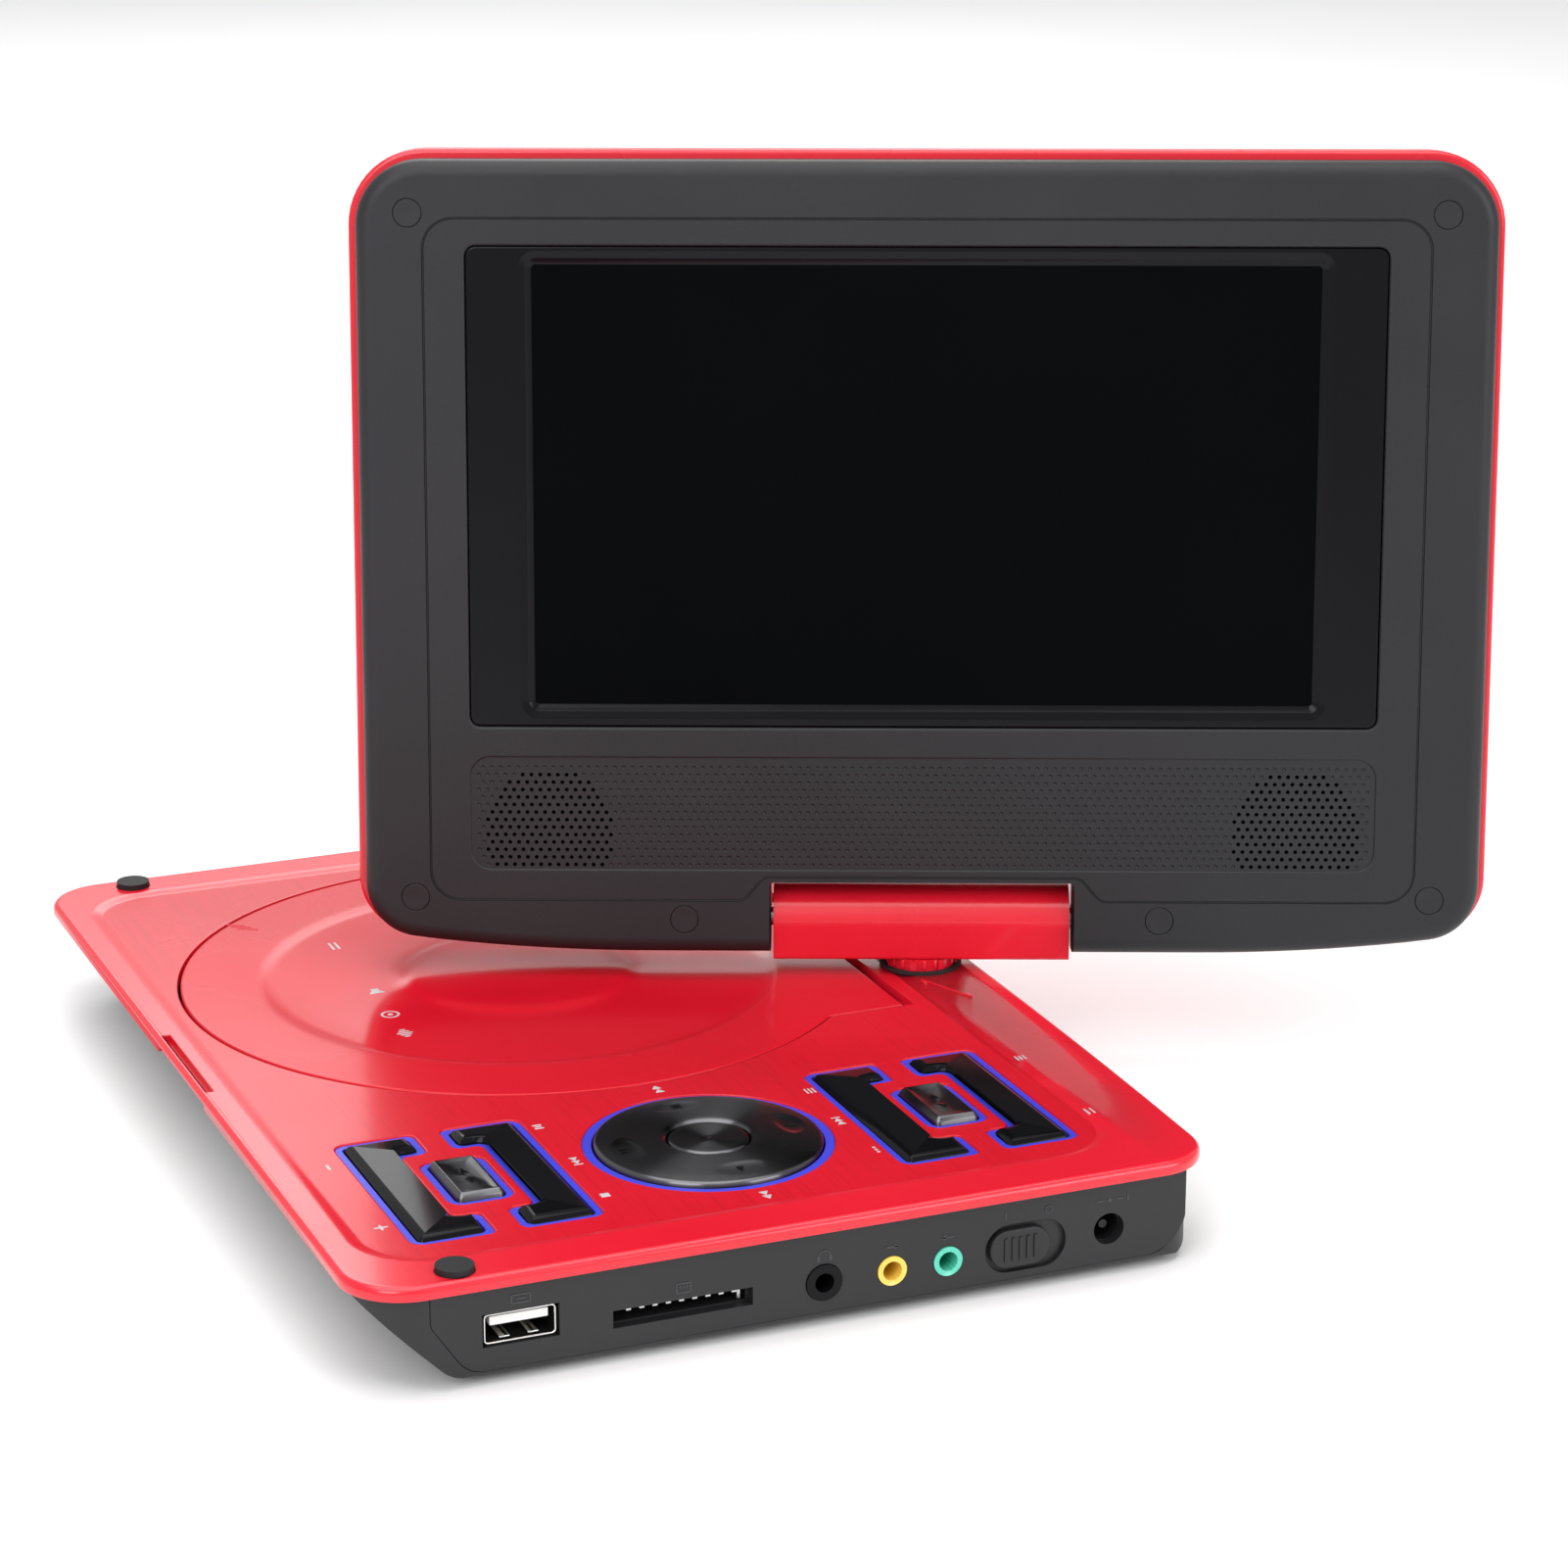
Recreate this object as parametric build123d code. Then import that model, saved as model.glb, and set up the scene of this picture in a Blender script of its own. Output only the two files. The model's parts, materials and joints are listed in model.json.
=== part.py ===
from build123d import *
import math
import os

# Portable DVD player with a swivelling screen, millimetres, +Z up.
# Origin: centre of the base's footprint on the surface it stands on.
# +X is the side with the sockets, -Y the front edge, +Y the hinge edge.
# The screen is turned to the left-hand side and leans back a little.
os.makedirs("parts", exist_ok=True)

# ------------------------------------------------------------ driving sizes
BASE_W = 226.2            # base width
FRONT_Y = -82.3           # straight front edge
BACK_Y = 82.3             # back edge at its middle
BACK_BOW = 2.6            # how far the back edge bows out
CORNER_F, CORNER_B = 12.0, 11.0
FOOT_H = 1.3              # case bottom above the table
RIM_Z = 20.9              # top of the base's rim
PLATE_LOW = 18.2          # underside of the top panel
PANEL_Z = 20.4            # recessed inner panel
PANEL = (-101.2, 101.2, -74.5, 65.4)
PANEL_R = 12.0
WALL = 1.8

CASE_X0, CASE_X1 = -110.9, 111.3
CASE_F, CASE_B, CASE_BOW = -80.8, 80.3, 3.4

DISC_X, DISC_Y = -28.2, -4.6   # spindle
DOOR_R = 67.7                  # door edge
DOOR_GAP = 0.6
TAB_HALF = 48.0                # straight hinge side of the door
DOOR_BACK = 59.1
HOLE_BACK = 61.3
HINGE_Y, HINGE_Z = 59.6, 17.0  # door hinge axis

KEY_X = 70.8                   # centre line of the key field
GROUP_Y = (-48.9, 43.4)        # centres of the two key groups
DIAL_Y = -2.6
DIAL_R, DIAL_CUT = 21.0, 23.1
PLAY_R = 7.6
KEY_TOP = 21.6

PORT_FACE = 111.3
PORT_Z = 8.35
USB_Y, USB_Z = -53.0, 10.1
CARD_Y, CARD_Z = -23.4, 8.15
JACK_Y = (3.0, 16.0, 26.8)     # headphone, AV out, AV in
JACK_R = 1.8                   # 3.5 mm jack bore
SWITCH_Y, SWITCH_Z = 42.05, 8.7
DC_Y, DC_Z = 58.6, 9.2

SWIVEL_X, SWIVEL_Y = 0.0, 71.8
AXIS_Z = 30.8                  # tilt axis
FACE_AZ = -23.33               # direction the screen faces
LEAN = 6.477                   # how far it leans back
POST_R = 7.0
BARREL_HALF = 29.7
NOTCH_HALF, NOTCH_TOP = 30.2, 8.3

LID_HALF = 113.3
LID_TOP = 153.55
LID_BACK_W, LIP_W, BEZEL_W = -8.3, 1.5, 8.5
BEZEL_HALF, BEZEL_TOP, LID_BOTTOM = 111.4, 151.75, -6.0
SHELL_BOTTOM = -6.6
WIN_HALF, WIN_LOW, WIN_HIGH = 90.0, 40.07, 135.2
LCD_HALF, LCD_LOW, LCD_HIGH = 77.04, 44.55, 131.5
LCD_W = 7.0


# ------------------------------------------------------------ helpers
def box(x0, x1, y0, y1, z0, z1):
    return Pos((x0 + x1) / 2, (y0 + y1) / 2, (z0 + z1) / 2) * Box(x1 - x0, y1 - y0, z1 - z0)


def cyl(r, z0, z1, x=0.0, y=0.0):
    return Pos(x, y, (z0 + z1) / 2) * Cylinder(r, z1 - z0)


def xcyl(r, x0, x1, y, z):
    return Pos((x0 + x1) / 2, y, z) * Rot(0, 90, 0) * Cylinder(r, x1 - x0)


def ycyl(r, y0, y1, x, z):
    return Pos(x, (y0 + y1) / 2, z) * Rot(90, 0, 0) * Cylinder(r, y1 - y0)


def up(sketch, z0, z1):
    return extrude(Pos(0, 0, z0) * sketch, amount=z1 - z0)


def rr(x0, x1, y0, y1, r):
    return Pos((x0 + x1) / 2, (y0 + y1) / 2) * RectangleRounded(x1 - x0, y1 - y0, r)


def closed(points, radii):
    """Closed polygon with a radius at each corner."""
    with BuildSketch() as s:
        with BuildLine():
            Polyline(*points, close=True)
        make_face()
        for p, r in zip(points, radii):
            if r:
                fillet(s.vertices().sort_by_distance((p[0], p[1], 0))[0], r)
    return s.sketch


def bowed(x0, x1, f, b, bow, rf, rb):
    with BuildSketch() as s:
        with BuildLine():
            Line((x0, f), (x1, f))
            Line((x1, f), (x1, b - bow))
            ThreePointArc((x1, b - bow), ((x0 + x1) / 2, b), (x0, b - bow))
            Line((x0, b - bow), (x0, f))
        make_face()
        v = s.vertices().sort_by(Axis.Y)
        fillet(v[:2], rf)
        fillet(s.vertices().sort_by(Axis.Y)[-2:], rb)
    return s.sketch


def solids_of(shape):
    return Compound(children=list(shape.solids())) if len(shape.solids()) > 1 else shape.solids()[0]


def save(shape, name):
    export_step(solids_of(shape), f"parts/{name}.step")


def on_x(profile_yz, x0, x1):
    """Profile drawn in (Y, Z), extruded from x0 to x1."""
    return extrude(Plane(origin=(x0, 0, 0), x_dir=(0, 1, 0), z_dir=(1, 0, 0)) * profile_yz, amount=x1 - x0)


def on_y(profile_xz, y0, y1):
    """Profile drawn in (X, Z), extruded from y0 to y1."""
    return extrude(Plane(origin=(0, y1, 0), x_dir=(1, 0, 0), z_dir=(0, -1, 0)) * profile_xz, amount=y1 - y0)


# ------------------------------------------------------------ base case
def case_body(t):
    """Lower case as plan outline x side profile x front profile, all inset by t."""
    plan = up(bowed(CASE_X0 + t, CASE_X1 - t, CASE_F + t, CASE_B - t, CASE_BOW, 10.5 - t, 9.0 - t), FOOT_H + t, PLATE_LOW)
    s = t * (math.sqrt(2) - 1)
    side = closed(
        [(CASE_F + t, PLATE_LOW + 5), (CASE_F + t, 17.6 + s), (CASE_F + 16.3 + s, FOOT_H + t), (CASE_B - t, FOOT_H + t), (CASE_B - t, PLATE_LOW + 5)],
        [0, 0, 10 - t, 9 - t, 0])
    ends = closed(
        [(CASE_X0 + t, PLATE_LOW + 5), (CASE_X0 + t, 17.6), (CASE_X0 + 9 + t * 0.6, FOOT_H + t), (CASE_X1 - t, FOOT_H + t), (CASE_X1 - t, PLATE_LOW + 5)],
        [0, 0, 8 - t, 2.2 if t == 0 else 0.4, 0])
    return plan & on_x(side, CASE_X0 - 5, CASE_X1 + 5) & on_y(ends, FRONT_Y - 5, BACK_Y + 5)


SCREWS = [(-92, -52), (40.5, -58), (-92, 64), (36, 68), (102.5, 67.0), (-40, 69.2)]
FEET = [(-84, -44), (88, -44), (-84, 58), (88, 58)]

outer = case_body(0)
case = outer - case_body(WALL)
# the side that carries the sockets is closed by its own panel
PANEL_OUT = closed([(-69.2, PLATE_LOW), (-69.2, 12.5), (-62.6, 2.6), (71.0, 2.6), (74.2, 9.0), (74.2, PLATE_LOW)], [0, 3, 6, 8, 3, 0])
panel_cut = on_x(PANEL_OUT, PORT_FACE - 2.0, PORT_FACE + 1)
for x, y in SCREWS:
    case += cyl(3.0, FOOT_H + 0.5, 10.0, x, y)
case -= panel_cut
case -= box(CASE_X1 - 3.2, CASE_X1 - 1.9, -66, 71.5, 4.4, PLATE_LOW + 1)
for x, y in SCREWS:
    case -= cyl(1.6, FOOT_H - 1, 11, x, y)
    case -= cyl(2.7, FOOT_H - 1, 5.0, x, y)
for x, y in FEET:
    case -= cyl(6.1, FOOT_H - 1, FOOT_H + 0.5, x, y)
# battery compartment ribs
for x0, x1, y0, y1 in [(-93.5, -92.3, -38, 42), (-64.5, -63.3, -38, 42)]:
    case += box(x0, x1, y0, y1, FOOT_H + WALL - 0.3, 9.0)
save(case, "bottom_case")
CHASSIS_PILLARS = [(-57, -26), (1, -26), (-57, 59), (1, 59.5)]

# ------------------------------------------------------------ socket side panel
inset = closed([(-69.05, PLATE_LOW - 0.1), (-69.05, 12.45), (-62.5, 2.75), (70.95, 2.75), (74.05, 9.05), (74.05, PLATE_LOW - 0.1)], [0, 3, 6, 8, 3, 0])
port_panel = on_x(inset, PORT_FACE - 1.9, PORT_FACE)
port_panel -= box(105, 115, USB_Y - 6.95, USB_Y + 6.95, USB_Z - 3.05, USB_Z + 3.05)
port_panel -= box(105, 115, CARD_Y - 12.95, CARD_Y + 12.95, CARD_Z - 1.65, CARD_Z + 1.65)
port_panel -= xcyl(3.5, 105, 115, JACK_Y[0], PORT_Z)
for y in JACK_Y[1:]:
    port_panel -= xcyl(2.85, 105, 115, y, PORT_Z)
slot_yz = Pos(SWITCH_Y, SWITCH_Z) * RectangleRounded(15.9, 9.2, 4.55)
port_panel -= on_x(slot_yz, PORT_FACE - 1.0, PORT_FACE + 1)
port_panel -= box(105, 115, SWITCH_Y - 5.2, SWITCH_Y + 3.9, SWITCH_Z - 1.6, SWITCH_Z + 1.6)
port_panel -= xcyl(3.0, 105, 115, DC_Y, DC_Z)
save(port_panel, "port_panel")

# ------------------------------------------------------------ base top panel
top = up(bowed(-BASE_W / 2, BASE_W / 2, FRONT_Y, BACK_Y, BACK_BOW, CORNER_F, CORNER_B), PLATE_LOW, RIM_Z)
top = fillet(top.edges().group_by(Axis.Z)[-1], 1.3)
top = fillet(top.edges().group_by(Axis.Z)[0], 0.6)
recess = loft([
    Pos(0, 0, PANEL_Z) * rr(*PANEL, PANEL_R),
    Pos(0, 0, PANEL_Z + 1.0) * rr(PANEL[0] - 4.6, PANEL[1] + 4.6, PANEL[2] - 4.6, PANEL[3] + 4.6, PANEL_R + 4.6)], ruled=True)
top -= recess
HALF_PLANE = 400.0


def round_with_tab(radius, half, back, corner):
    """Circle about the spindle, cut off straight at the hinge side and squared out to a tab."""
    disc = Pos(DISC_X, DISC_Y) * Circle(radius) & Pos(DISC_X, back - HALF_PLANE / 2) * Rectangle(HALF_PLANE, HALF_PLANE)
    return disc + rr(DISC_X - half, DISC_X + half, 20, back, corner)


opening = round_with_tab(DOOR_R + DOOR_GAP, TAB_HALF + DOOR_GAP, HOLE_BACK, 0.5)
top -= up(opening, PLATE_LOW - 1, RIM_Z + 1)


def bracket(cx, cy, flip, grow=0.0):
    """Key cut-out shaped like a square bracket: a bar with two short arms."""
    g = grow
    pts = [(-24.1 - g, -8.9 - g), (24.1 + g, -8.9 - g), (24.1 + g, 6.4 + g), (14.4 - g, 6.4 + g), (14.4 - g - 0.0, 1.1 + g), (-14.4 + g, 1.1 + g), (-14.4 + g, 6.4 + g), (-24.1 - g, 6.4 + g)]
    radii = [2.6 + g, 2.6 + g, 1.6, 1.6, 1.6, 1.6, 1.6, 1.6]
    pts = [(cx + x, cy + (-y if flip else y)) for x, y in pts]
    return closed(pts, radii)


def keypad():
    """(name, outline function) of each key, the outline growing by its argument."""
    out = []
    for g, (low, high, mid) in enumerate((("volume_key", "channel_key", "menu_key"), ("search_key", "mode_key", "source_key"))):
        y = GROUP_Y[g]
        out.append((low, lambda k, y=y: bracket(KEY_X, y - 8.85, False, k)))
        out.append((high, lambda k, y=y: bracket(KEY_X, y + 8.85, True, k)))
        out.append((mid, lambda k, y=y: rr(KEY_X - 10.3 - k, KEY_X + 10.3 + k, y - 6.1 - k, y + 6.1 + k, 2.8 + max(k, -2.0))))
    return out


KEYS = keypad()
ROCK_Y = {"volume_key": GROUP_Y[0] - 7.85, "channel_key": GROUP_Y[0] + 7.85, "search_key": GROUP_Y[1] - 7.85, "mode_key": GROUP_Y[1] + 7.85}
for name, outline in KEYS:
    top -= up(outline(0), PLATE_LOW - 1, RIM_Z + 1)
top -= cyl(DIAL_CUT, PLATE_LOW - 1, RIM_Z + 1, KEY_X, DIAL_Y)
top -= cyl(POST_R + 0.15, PLATE_LOW - 1, RIM_Z + 1, SWIVEL_X, SWIVEL_Y)
# finger recess with its slot in the middle of the front edge
top -= box(-18.5, 13.5, -80.4, -79.2, RIM_Z - 1.3, RIM_Z + 1)
top -= box(-17.4, 16.6, FRONT_Y - 1, FRONT_Y + 1.0, PLATE_LOW - 1, 20.0)
BUMPERS = [(-108.2, -63.6), (108.2, -63.6)]
for x, y in BUMPERS:
    top -= cyl(3.5, RIM_Z - 0.8, RIM_Z + 1, x, y)
for x, y in SCREWS:
    top += cyl(2.8, 10.05, PLATE_LOW + 0.3, x, y) - cyl(1.25, 9, PLATE_LOW - 0.5, x, y)
save(top, "top_panel")

save(Compound(children=[cyl(3.4, RIM_Z - 0.75, RIM_Z + 1.1, x, y).solid() for x, y in BUMPERS]), "rubber_bumpers")
save(Compound(children=[cyl(6.0, 0, FOOT_H + 0.45, x, y).solid() for x, y in FEET]), "rubber_feet")
save(Compound(children=[(cyl(2.5, 3.3, 4.95, x, y) + cyl(1.1, 4.9, 16.5, x, y) - box(x - 1.5, x + 1.5, y - 0.3, y + 0.3, 3.0, 3.9) - box(x - 0.3, x + 0.3, y - 1.5, y + 1.5, 3.0, 3.9)).solid() for x, y in SCREWS]), "case_screws")

# ------------------------------------------------------------ key field
surround = up(rr(44.6, 97.0, -70.5, 61.5, 3), 17.2, PLATE_LOW)
for name, outline in KEYS:
    surround += up(outline(-0.1), PLATE_LOW - 0.2, 20.1)
surround += cyl(DIAL_CUT - 0.1, PLATE_LOW - 0.2, 20.1, KEY_X, DIAL_Y)
for name, outline in KEYS:
    surround -= up(outline(-1.3), 16, 22)
surround -= cyl(DIAL_R + 0.35, 16, 22, KEY_X, DIAL_Y)
save(surround, "key_surround")

for name, outline in KEYS:
    cap = up(outline(-1.65), 16.4, KEY_TOP)
    cap = chamfer(cap.edges().group_by(Axis.Z)[-1], 0.6)
    cap += up(outline(-0.75), 15.95, 16.5)
    if name in ROCK_Y:        # half-round rib the key rocks on
        cap += ycyl(0.5, ROCK_Y[name] - 2.5, ROCK_Y[name] + 2.5, KEY_X, 16.3)
    save(cap, name)

PIVOT_Z = 15.9
with BuildSketch(Plane.XZ) as dial_profile:
    with BuildLine():
        Polyline((PLAY_R + 0.25, 16.3), (DIAL_R + 0.9, 16.3), (DIAL_R + 0.9, 16.6), (DIAL_R, 16.6), (DIAL_R, 20.7), (DIAL_R - 0.9, 21.5), (14.5, 21.75), (PLAY_R + 0.9, 21.3), (PLAY_R + 0.25, 20.9), close=True)
    make_face()
dial = revolve(dial_profile.sketch, Axis.Z)
dial = Pos(KEY_X, DIAL_Y, 0) * dial
for a, b in ((-14.0, -10.0), (10.0, 14.0)):      # ribs the dial rocks on, crosswise to those of the ring
    dial += ycyl(0.5, DIAL_Y + a, DIAL_Y + b, KEY_X, 16.1)
save(dial, "nav_dial")
pivot = cyl(9.0, 14.95, 15.9, KEY_X, DIAL_Y) - cyl(4.0, 14, 17, KEY_X, DIAL_Y)
for a, b in ((-11.5, -8.5), (8.5, 11.5)):
    pivot += xcyl(0.42, KEY_X + a, KEY_X + b, DIAL_Y, 15.4)
save(pivot, "dial_pivot_ring")
with BuildSketch(Plane.XZ) as play_profile:
    with BuildLine():
        Polyline((0, 15.45), (3.4, 15.45), (3.4, 17.4), (PLAY_R, 17.4), (PLAY_R, 20.9), (PLAY_R - 0.7, 21.35), (4.2, 21.2), (0, 21.0), close=True)
    make_face()
play = Pos(KEY_X, DIAL_Y, 0) * revolve(play_profile.sketch, Axis.Z)
save(play, "play_button")

key_board = up(rr(45.0, 96.6, -70.0, 61.0, 1.5), 13.3, 14.4)
save(key_board, "key_board")
DOMES = []
for y in GROUP_Y:
    DOMES += [(KEY_X - 18, y - 13.5), (KEY_X + 18, y - 13.5), (KEY_X - 18, y + 13.5), (KEY_X + 18, y + 13.5), (KEY_X, y)]
DOMES += [(KEY_X + 16, DIAL_Y), (KEY_X - 16, DIAL_Y), (KEY_X, DIAL_Y + 16), (KEY_X, DIAL_Y - 16)]
save(Compound(children=[Pos(x, y, 14.4) * Cone(2.6, 1.6, 0.95, align=(Align.CENTER, Align.CENTER, Align.MIN)).solid() for x, y in DOMES]), "dome_switches")
# ------------------------------------------------------------ disc bay
bay = round_with_tab(DOOR_R + 2.4, TAB_HALF + 1.8, 62.5, 1.5)
bay_in = round_with_tab(DOOR_R + 0.8, TAB_HALF + 0.6, HOLE_BACK, 0.5)
tray = (up(bay, 12.9, PLATE_LOW) & case_body(WALL + 0.2)) - up(bay_in, 13.9, PLATE_LOW + 1)
tray -= cyl(15.6, 12, 15, DISC_X, DISC_Y)
tray -= box(DISC_X - 9, DISC_X + 9, DISC_Y, 57.0, 12, 15)
HINGE_X = [(-74.5, -69.5), (13.5, 18.5)]
for a, b in HINGE_X:
    for x0, x1 in ((a - 1.6, a - 0.2), (b + 0.2, b + 1.6)):
        tray += box(x0, x1, 57.8, 61.6, 13.5, 18.15)
for a, b in HINGE_X:
    tray -= xcyl(0.85, a - 3, b + 3, HINGE_Y, HINGE_Z)
save(tray, "disc_tray")

with BuildSketch(Plane.XZ) as door_profile:
    with BuildLine():
        Polyline((0, 18.4), (DOOR_R, 18.4), (DOOR_R, 20.2), (DOOR_R - 0.2, PANEL_Z), (52.3, PANEL_Z), (51.2, 20.0), (25.4, 20.0), (23.6, 20.75), (21.5, 20.9), (0, 20.9), close=True)
    make_face()
door = Pos(DISC_X, DISC_Y, 0) * revolve(door_profile.sketch, Axis.Z)
tab = up(rr(DISC_X - TAB_HALF, DISC_X + TAB_HALF, 20, DOOR_BACK, 0.5), 18.4, PANEL_Z)
door -= box(-120, 60, DOOR_BACK, 80, 10, 30)
door += tab - cyl(DOOR_R - 0.3, 17, 22, DISC_X, DISC_Y)
for a, b in HINGE_X:
    door += xcyl(1.5, a, b, HINGE_Y, HINGE_Z) + box(a, b, 58.2, 59.1, 17.0, 18.6)
    door -= xcyl(0.86, a - 3, b + 3, HINGE_Y, HINGE_Z)
door += box(DISC_X - 4, DISC_X + 4, DISC_Y - 66.3, DISC_Y - 65.0, 15.8, 18.5)
save(door, "disc_door")
save(Compound(children=[xcyl(0.8, a - 1.7, b + 1.7, HINGE_Y, HINGE_Z).solid() for a, b in HINGE_X]), "door_hinge_pins")

# ------------------------------------------------------------ disc drive
chassis = up(rr(-61, 5, -30, 63, 3), 11.6, 12.6)
chassis -= cyl(4.6, 11, 13, DISC_X, DISC_Y)
chassis -= box(DISC_X - 15, DISC_X + 15, 12.0, 60.0, 11, 13)
for x, y in CHASSIS_PILLARS:
    chassis -= cyl(2.05, 11, 13, x, y)
for x in (DISC_X - 19.0, DISC_X + 19.0):
    for y0, y1 in ((7.8, 8.9), (62.0, 63.0)):
        chassis += box(x - 2, x + 2, y0, y1, 5.6, 11.7)
    chassis -= ycyl(1.02, 7, 64, x, 7.6)
save(chassis, "drive_chassis")
dampers = []
for x, y in CHASSIS_PILLARS:
    dampers.append((cyl(1.6, FOOT_H + WALL, 10.1, x, y) + cyl(3.2, 10.0, 11.55, x, y) + cyl(2.0, 11.5, 12.7, x, y)).solid())
save(Compound(children=dampers), "chassis_dampers")
motor = cyl(12.0, 4.4, 11.55, DISC_X, DISC_Y) + cyl(4.4, 11.5, 12.4, DISC_X, DISC_Y) - cyl(0.85, 3.5, 13, DISC_X, DISC_Y)
save(motor, "spindle_motor")
platter = cyl(14.5, 14.6, 15.4, DISC_X, DISC_Y) + cyl(5.0, 13.2, 14.7, DISC_X, DISC_Y) + cyl(0.8, 6.0, 17.0, DISC_X, DISC_Y)
save(platter, "turntable")
hub = cyl(7.3, 15.4, 16.8, DISC_X, DISC_Y)
hub = chamfer(hub.edges().group_by(Axis.Z)[-1], 0.6) + cyl(4.2, 16.7, 17.5, DISC_X, DISC_Y) - cyl(0.8, 15, 17.0, DISC_X, DISC_Y)
for k in range(3):
    a = math.radians(90 + 120 * k)
    hub += Pos(DISC_X + 6.7 * math.cos(a), DISC_Y + 6.7 * math.sin(a), 16.1) * Sphere(0.95)
save(hub, "disc_hub")
ROD_X = (DISC_X - 19.0, DISC_X + 19.0)
ROD_Z = 7.6
SLED_Y = 20.4                      # lens centre at its inner position
sled = box(ROD_X[0] - 2.5, ROD_X[1] + 2.5, SLED_Y - 7.5, SLED_Y + 9, 5.3, 10.2)
sled += box(DISC_X - 6.5, DISC_X + 6.5, SLED_Y - 6.5, SLED_Y + 6.5, 10.0, 12.0)
sled += box(ROD_X[1] + 2, ROD_X[1] + 9.0, SLED_Y + 1, SLED_Y + 6, 5.3, 10.0)
for x in ROD_X:
    sled -= ycyl(1.06, 0, 80, x, ROD_Z)
SCREW_X = ROD_X[1] + 6.0
sled -= ycyl(1.9, 0, 80, SCREW_X, ROD_Z)
save(sled, "pickup_sled")
save(cyl(3.4, 12.0, 13.4, DISC_X, SLED_Y) + (Pos(DISC_X, SLED_Y, 12.0) * Sphere(2.4) & cyl(2.2, 13.3, 14.4, DISC_X, SLED_Y)), "pickup_lens")
save(Compound(children=[ycyl(1.0, 7.8, 63.0, x, ROD_Z).solid() for x in ROD_X]), "guide_rods")
save(ycyl(1.5, 7.0, 62.0, SCREW_X, ROD_Z) + ycyl(0.7, -1, 7.1, SCREW_X, ROD_Z), "feed_screw")
save(ycyl(3.6, -9.0, 6.5, SCREW_X, ROD_Z) - ycyl(0.78, -10, 8, SCREW_X, ROD_Z), "feed_motor")

# ------------------------------------------------------------ boards, battery
board = up(rr(10.5, 105.0, -58, 60, 2), 4.4, 5.6) - cyl(3.4, 4, 6, 40.5, -58)
board += up(rr(22, 36, -20, 0, 0.5), 5.5, 7.6) + up(rr(40, 50, 10, 20, 0.3), 5.5, 6.8) + up(rr(24, 32, 24, 36, 0.3), 5.5, 6.6)
save(board, "main_board")
save(fillet(up(rr(-91.8, -65.0, -36, 40, 1.5), 3.2, 10.6).edges().group_by(Axis.Z)[-1], 1.0), "battery_pack")

# ------------------------------------------------------------ sockets
usb = box(97.5, 110.8, USB_Y - 6.6, USB_Y + 6.6, USB_Z - 2.85, USB_Z + 2.85) - box(98.2, 112, USB_Y - 6.2, USB_Y + 6.2, USB_Z - 2.45, USB_Z + 2.45)
save(usb, "usb_socket")
save(box(98.2, 109.9, USB_Y - 5.5, USB_Y + 5.5, USB_Z - 0.1, USB_Z + 1.8), "usb_tongue")
card = box(82.0, 109.3, CARD_Y - 13.6, CARD_Y + 13.6, 5.7, 10.3) - box(84.0, 112, CARD_Y - 12.3, CARD_Y + 12.3, CARD_Z - 1.3, CARD_Z + 1.4)
save(card, "card_socket")


def jack(y, ring_r, proud):
    body = box(98.5, 109.3, y - 3.9, y + 3.9, 5.7, 12.2)
    body += xcyl(ring_r, 109.2, PORT_FACE + proud, y, PORT_Z)
    return body - xcyl(JACK_R, 99.5, 113, y, PORT_Z)


save(jack(JACK_Y[0], 3.4, 0.3), "headphone_jack")
save(jack(JACK_Y[1], 2.75, 0.25), "av_out_jack")
save(jack(JACK_Y[2], 2.75, 0.25), "av_in_jack")
dc = box(97.0, 109.3, DC_Y - 4.5, DC_Y + 4.5, 5.7, 13.6) - xcyl(2.85, 99.5, 112, DC_Y, DC_Z)
dc += xcyl(0.8, 99.0, 108.8, DC_Y, DC_Z)
save(dc, "dc_jack")
save(box(98.5, 106.6, SWITCH_Y - 7.5, SWITCH_Y + 7.5, 5.7, 11.8) - box(104.6, 107, SWITCH_Y - 4.4, SWITCH_Y + 3.4, SWITCH_Z - 1.4, SWITCH_Z + 1.4), "power_switch")
KNOB_Y = 40.85
knob = on_x(Pos(KNOB_Y, SWITCH_Z) * RectangleRounded(11.8, 7.3, 3.6), PORT_FACE - 0.9, PORT_FACE + 0.5)
knob = fillet(knob.edges().group_by(Axis.X)[-1], 0.4)
for k in range(-2, 3):
    knob += box(PORT_FACE + 0.4, PORT_FACE + 0.75, KNOB_Y + k * 1.45 - 0.3, KNOB_Y + k * 1.45 + 0.3, SWITCH_Z - 2.2, SWITCH_Z + 2.2)
knob += box(105.0, PORT_FACE - 0.8, KNOB_Y - 2.6, KNOB_Y + 0.1, SWITCH_Z - 1.2, SWITCH_Z + 1.2)
save(knob, "power_knob")

# ------------------------------------------------------------ swivel
save(cyl(8.3, RIM_Z, RIM_Z + 0.55, SWIVEL_X, SWIVEL_Y) - cyl(7.15, RIM_Z - 1, RIM_Z + 1, SWIVEL_X, SWIVEL_Y), "swivel_ring")
save(up(rr(-22, 22, 63.1, 78.0, 1.0), 16.7, PLATE_LOW) - cyl(5.1, 16, 19, SWIVEL_X, SWIVEL_Y), "bearing_plate")
BARREL_LOW = -7.1
BARREL_TOP = 6.7
O = Vector(SWIVEL_X, SWIVEL_Y, AXIS_Z)
az = math.radians(FACE_AZ)
n_dir = Vector(math.cos(az), math.sin(az), 0)
u_dir = Vector(-math.sin(az), math.cos(az), 0)
lean = math.radians(LEAN)
nn_dir = n_dir * math.cos(lean) + Vector(0, 0, math.sin(lean))
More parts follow.
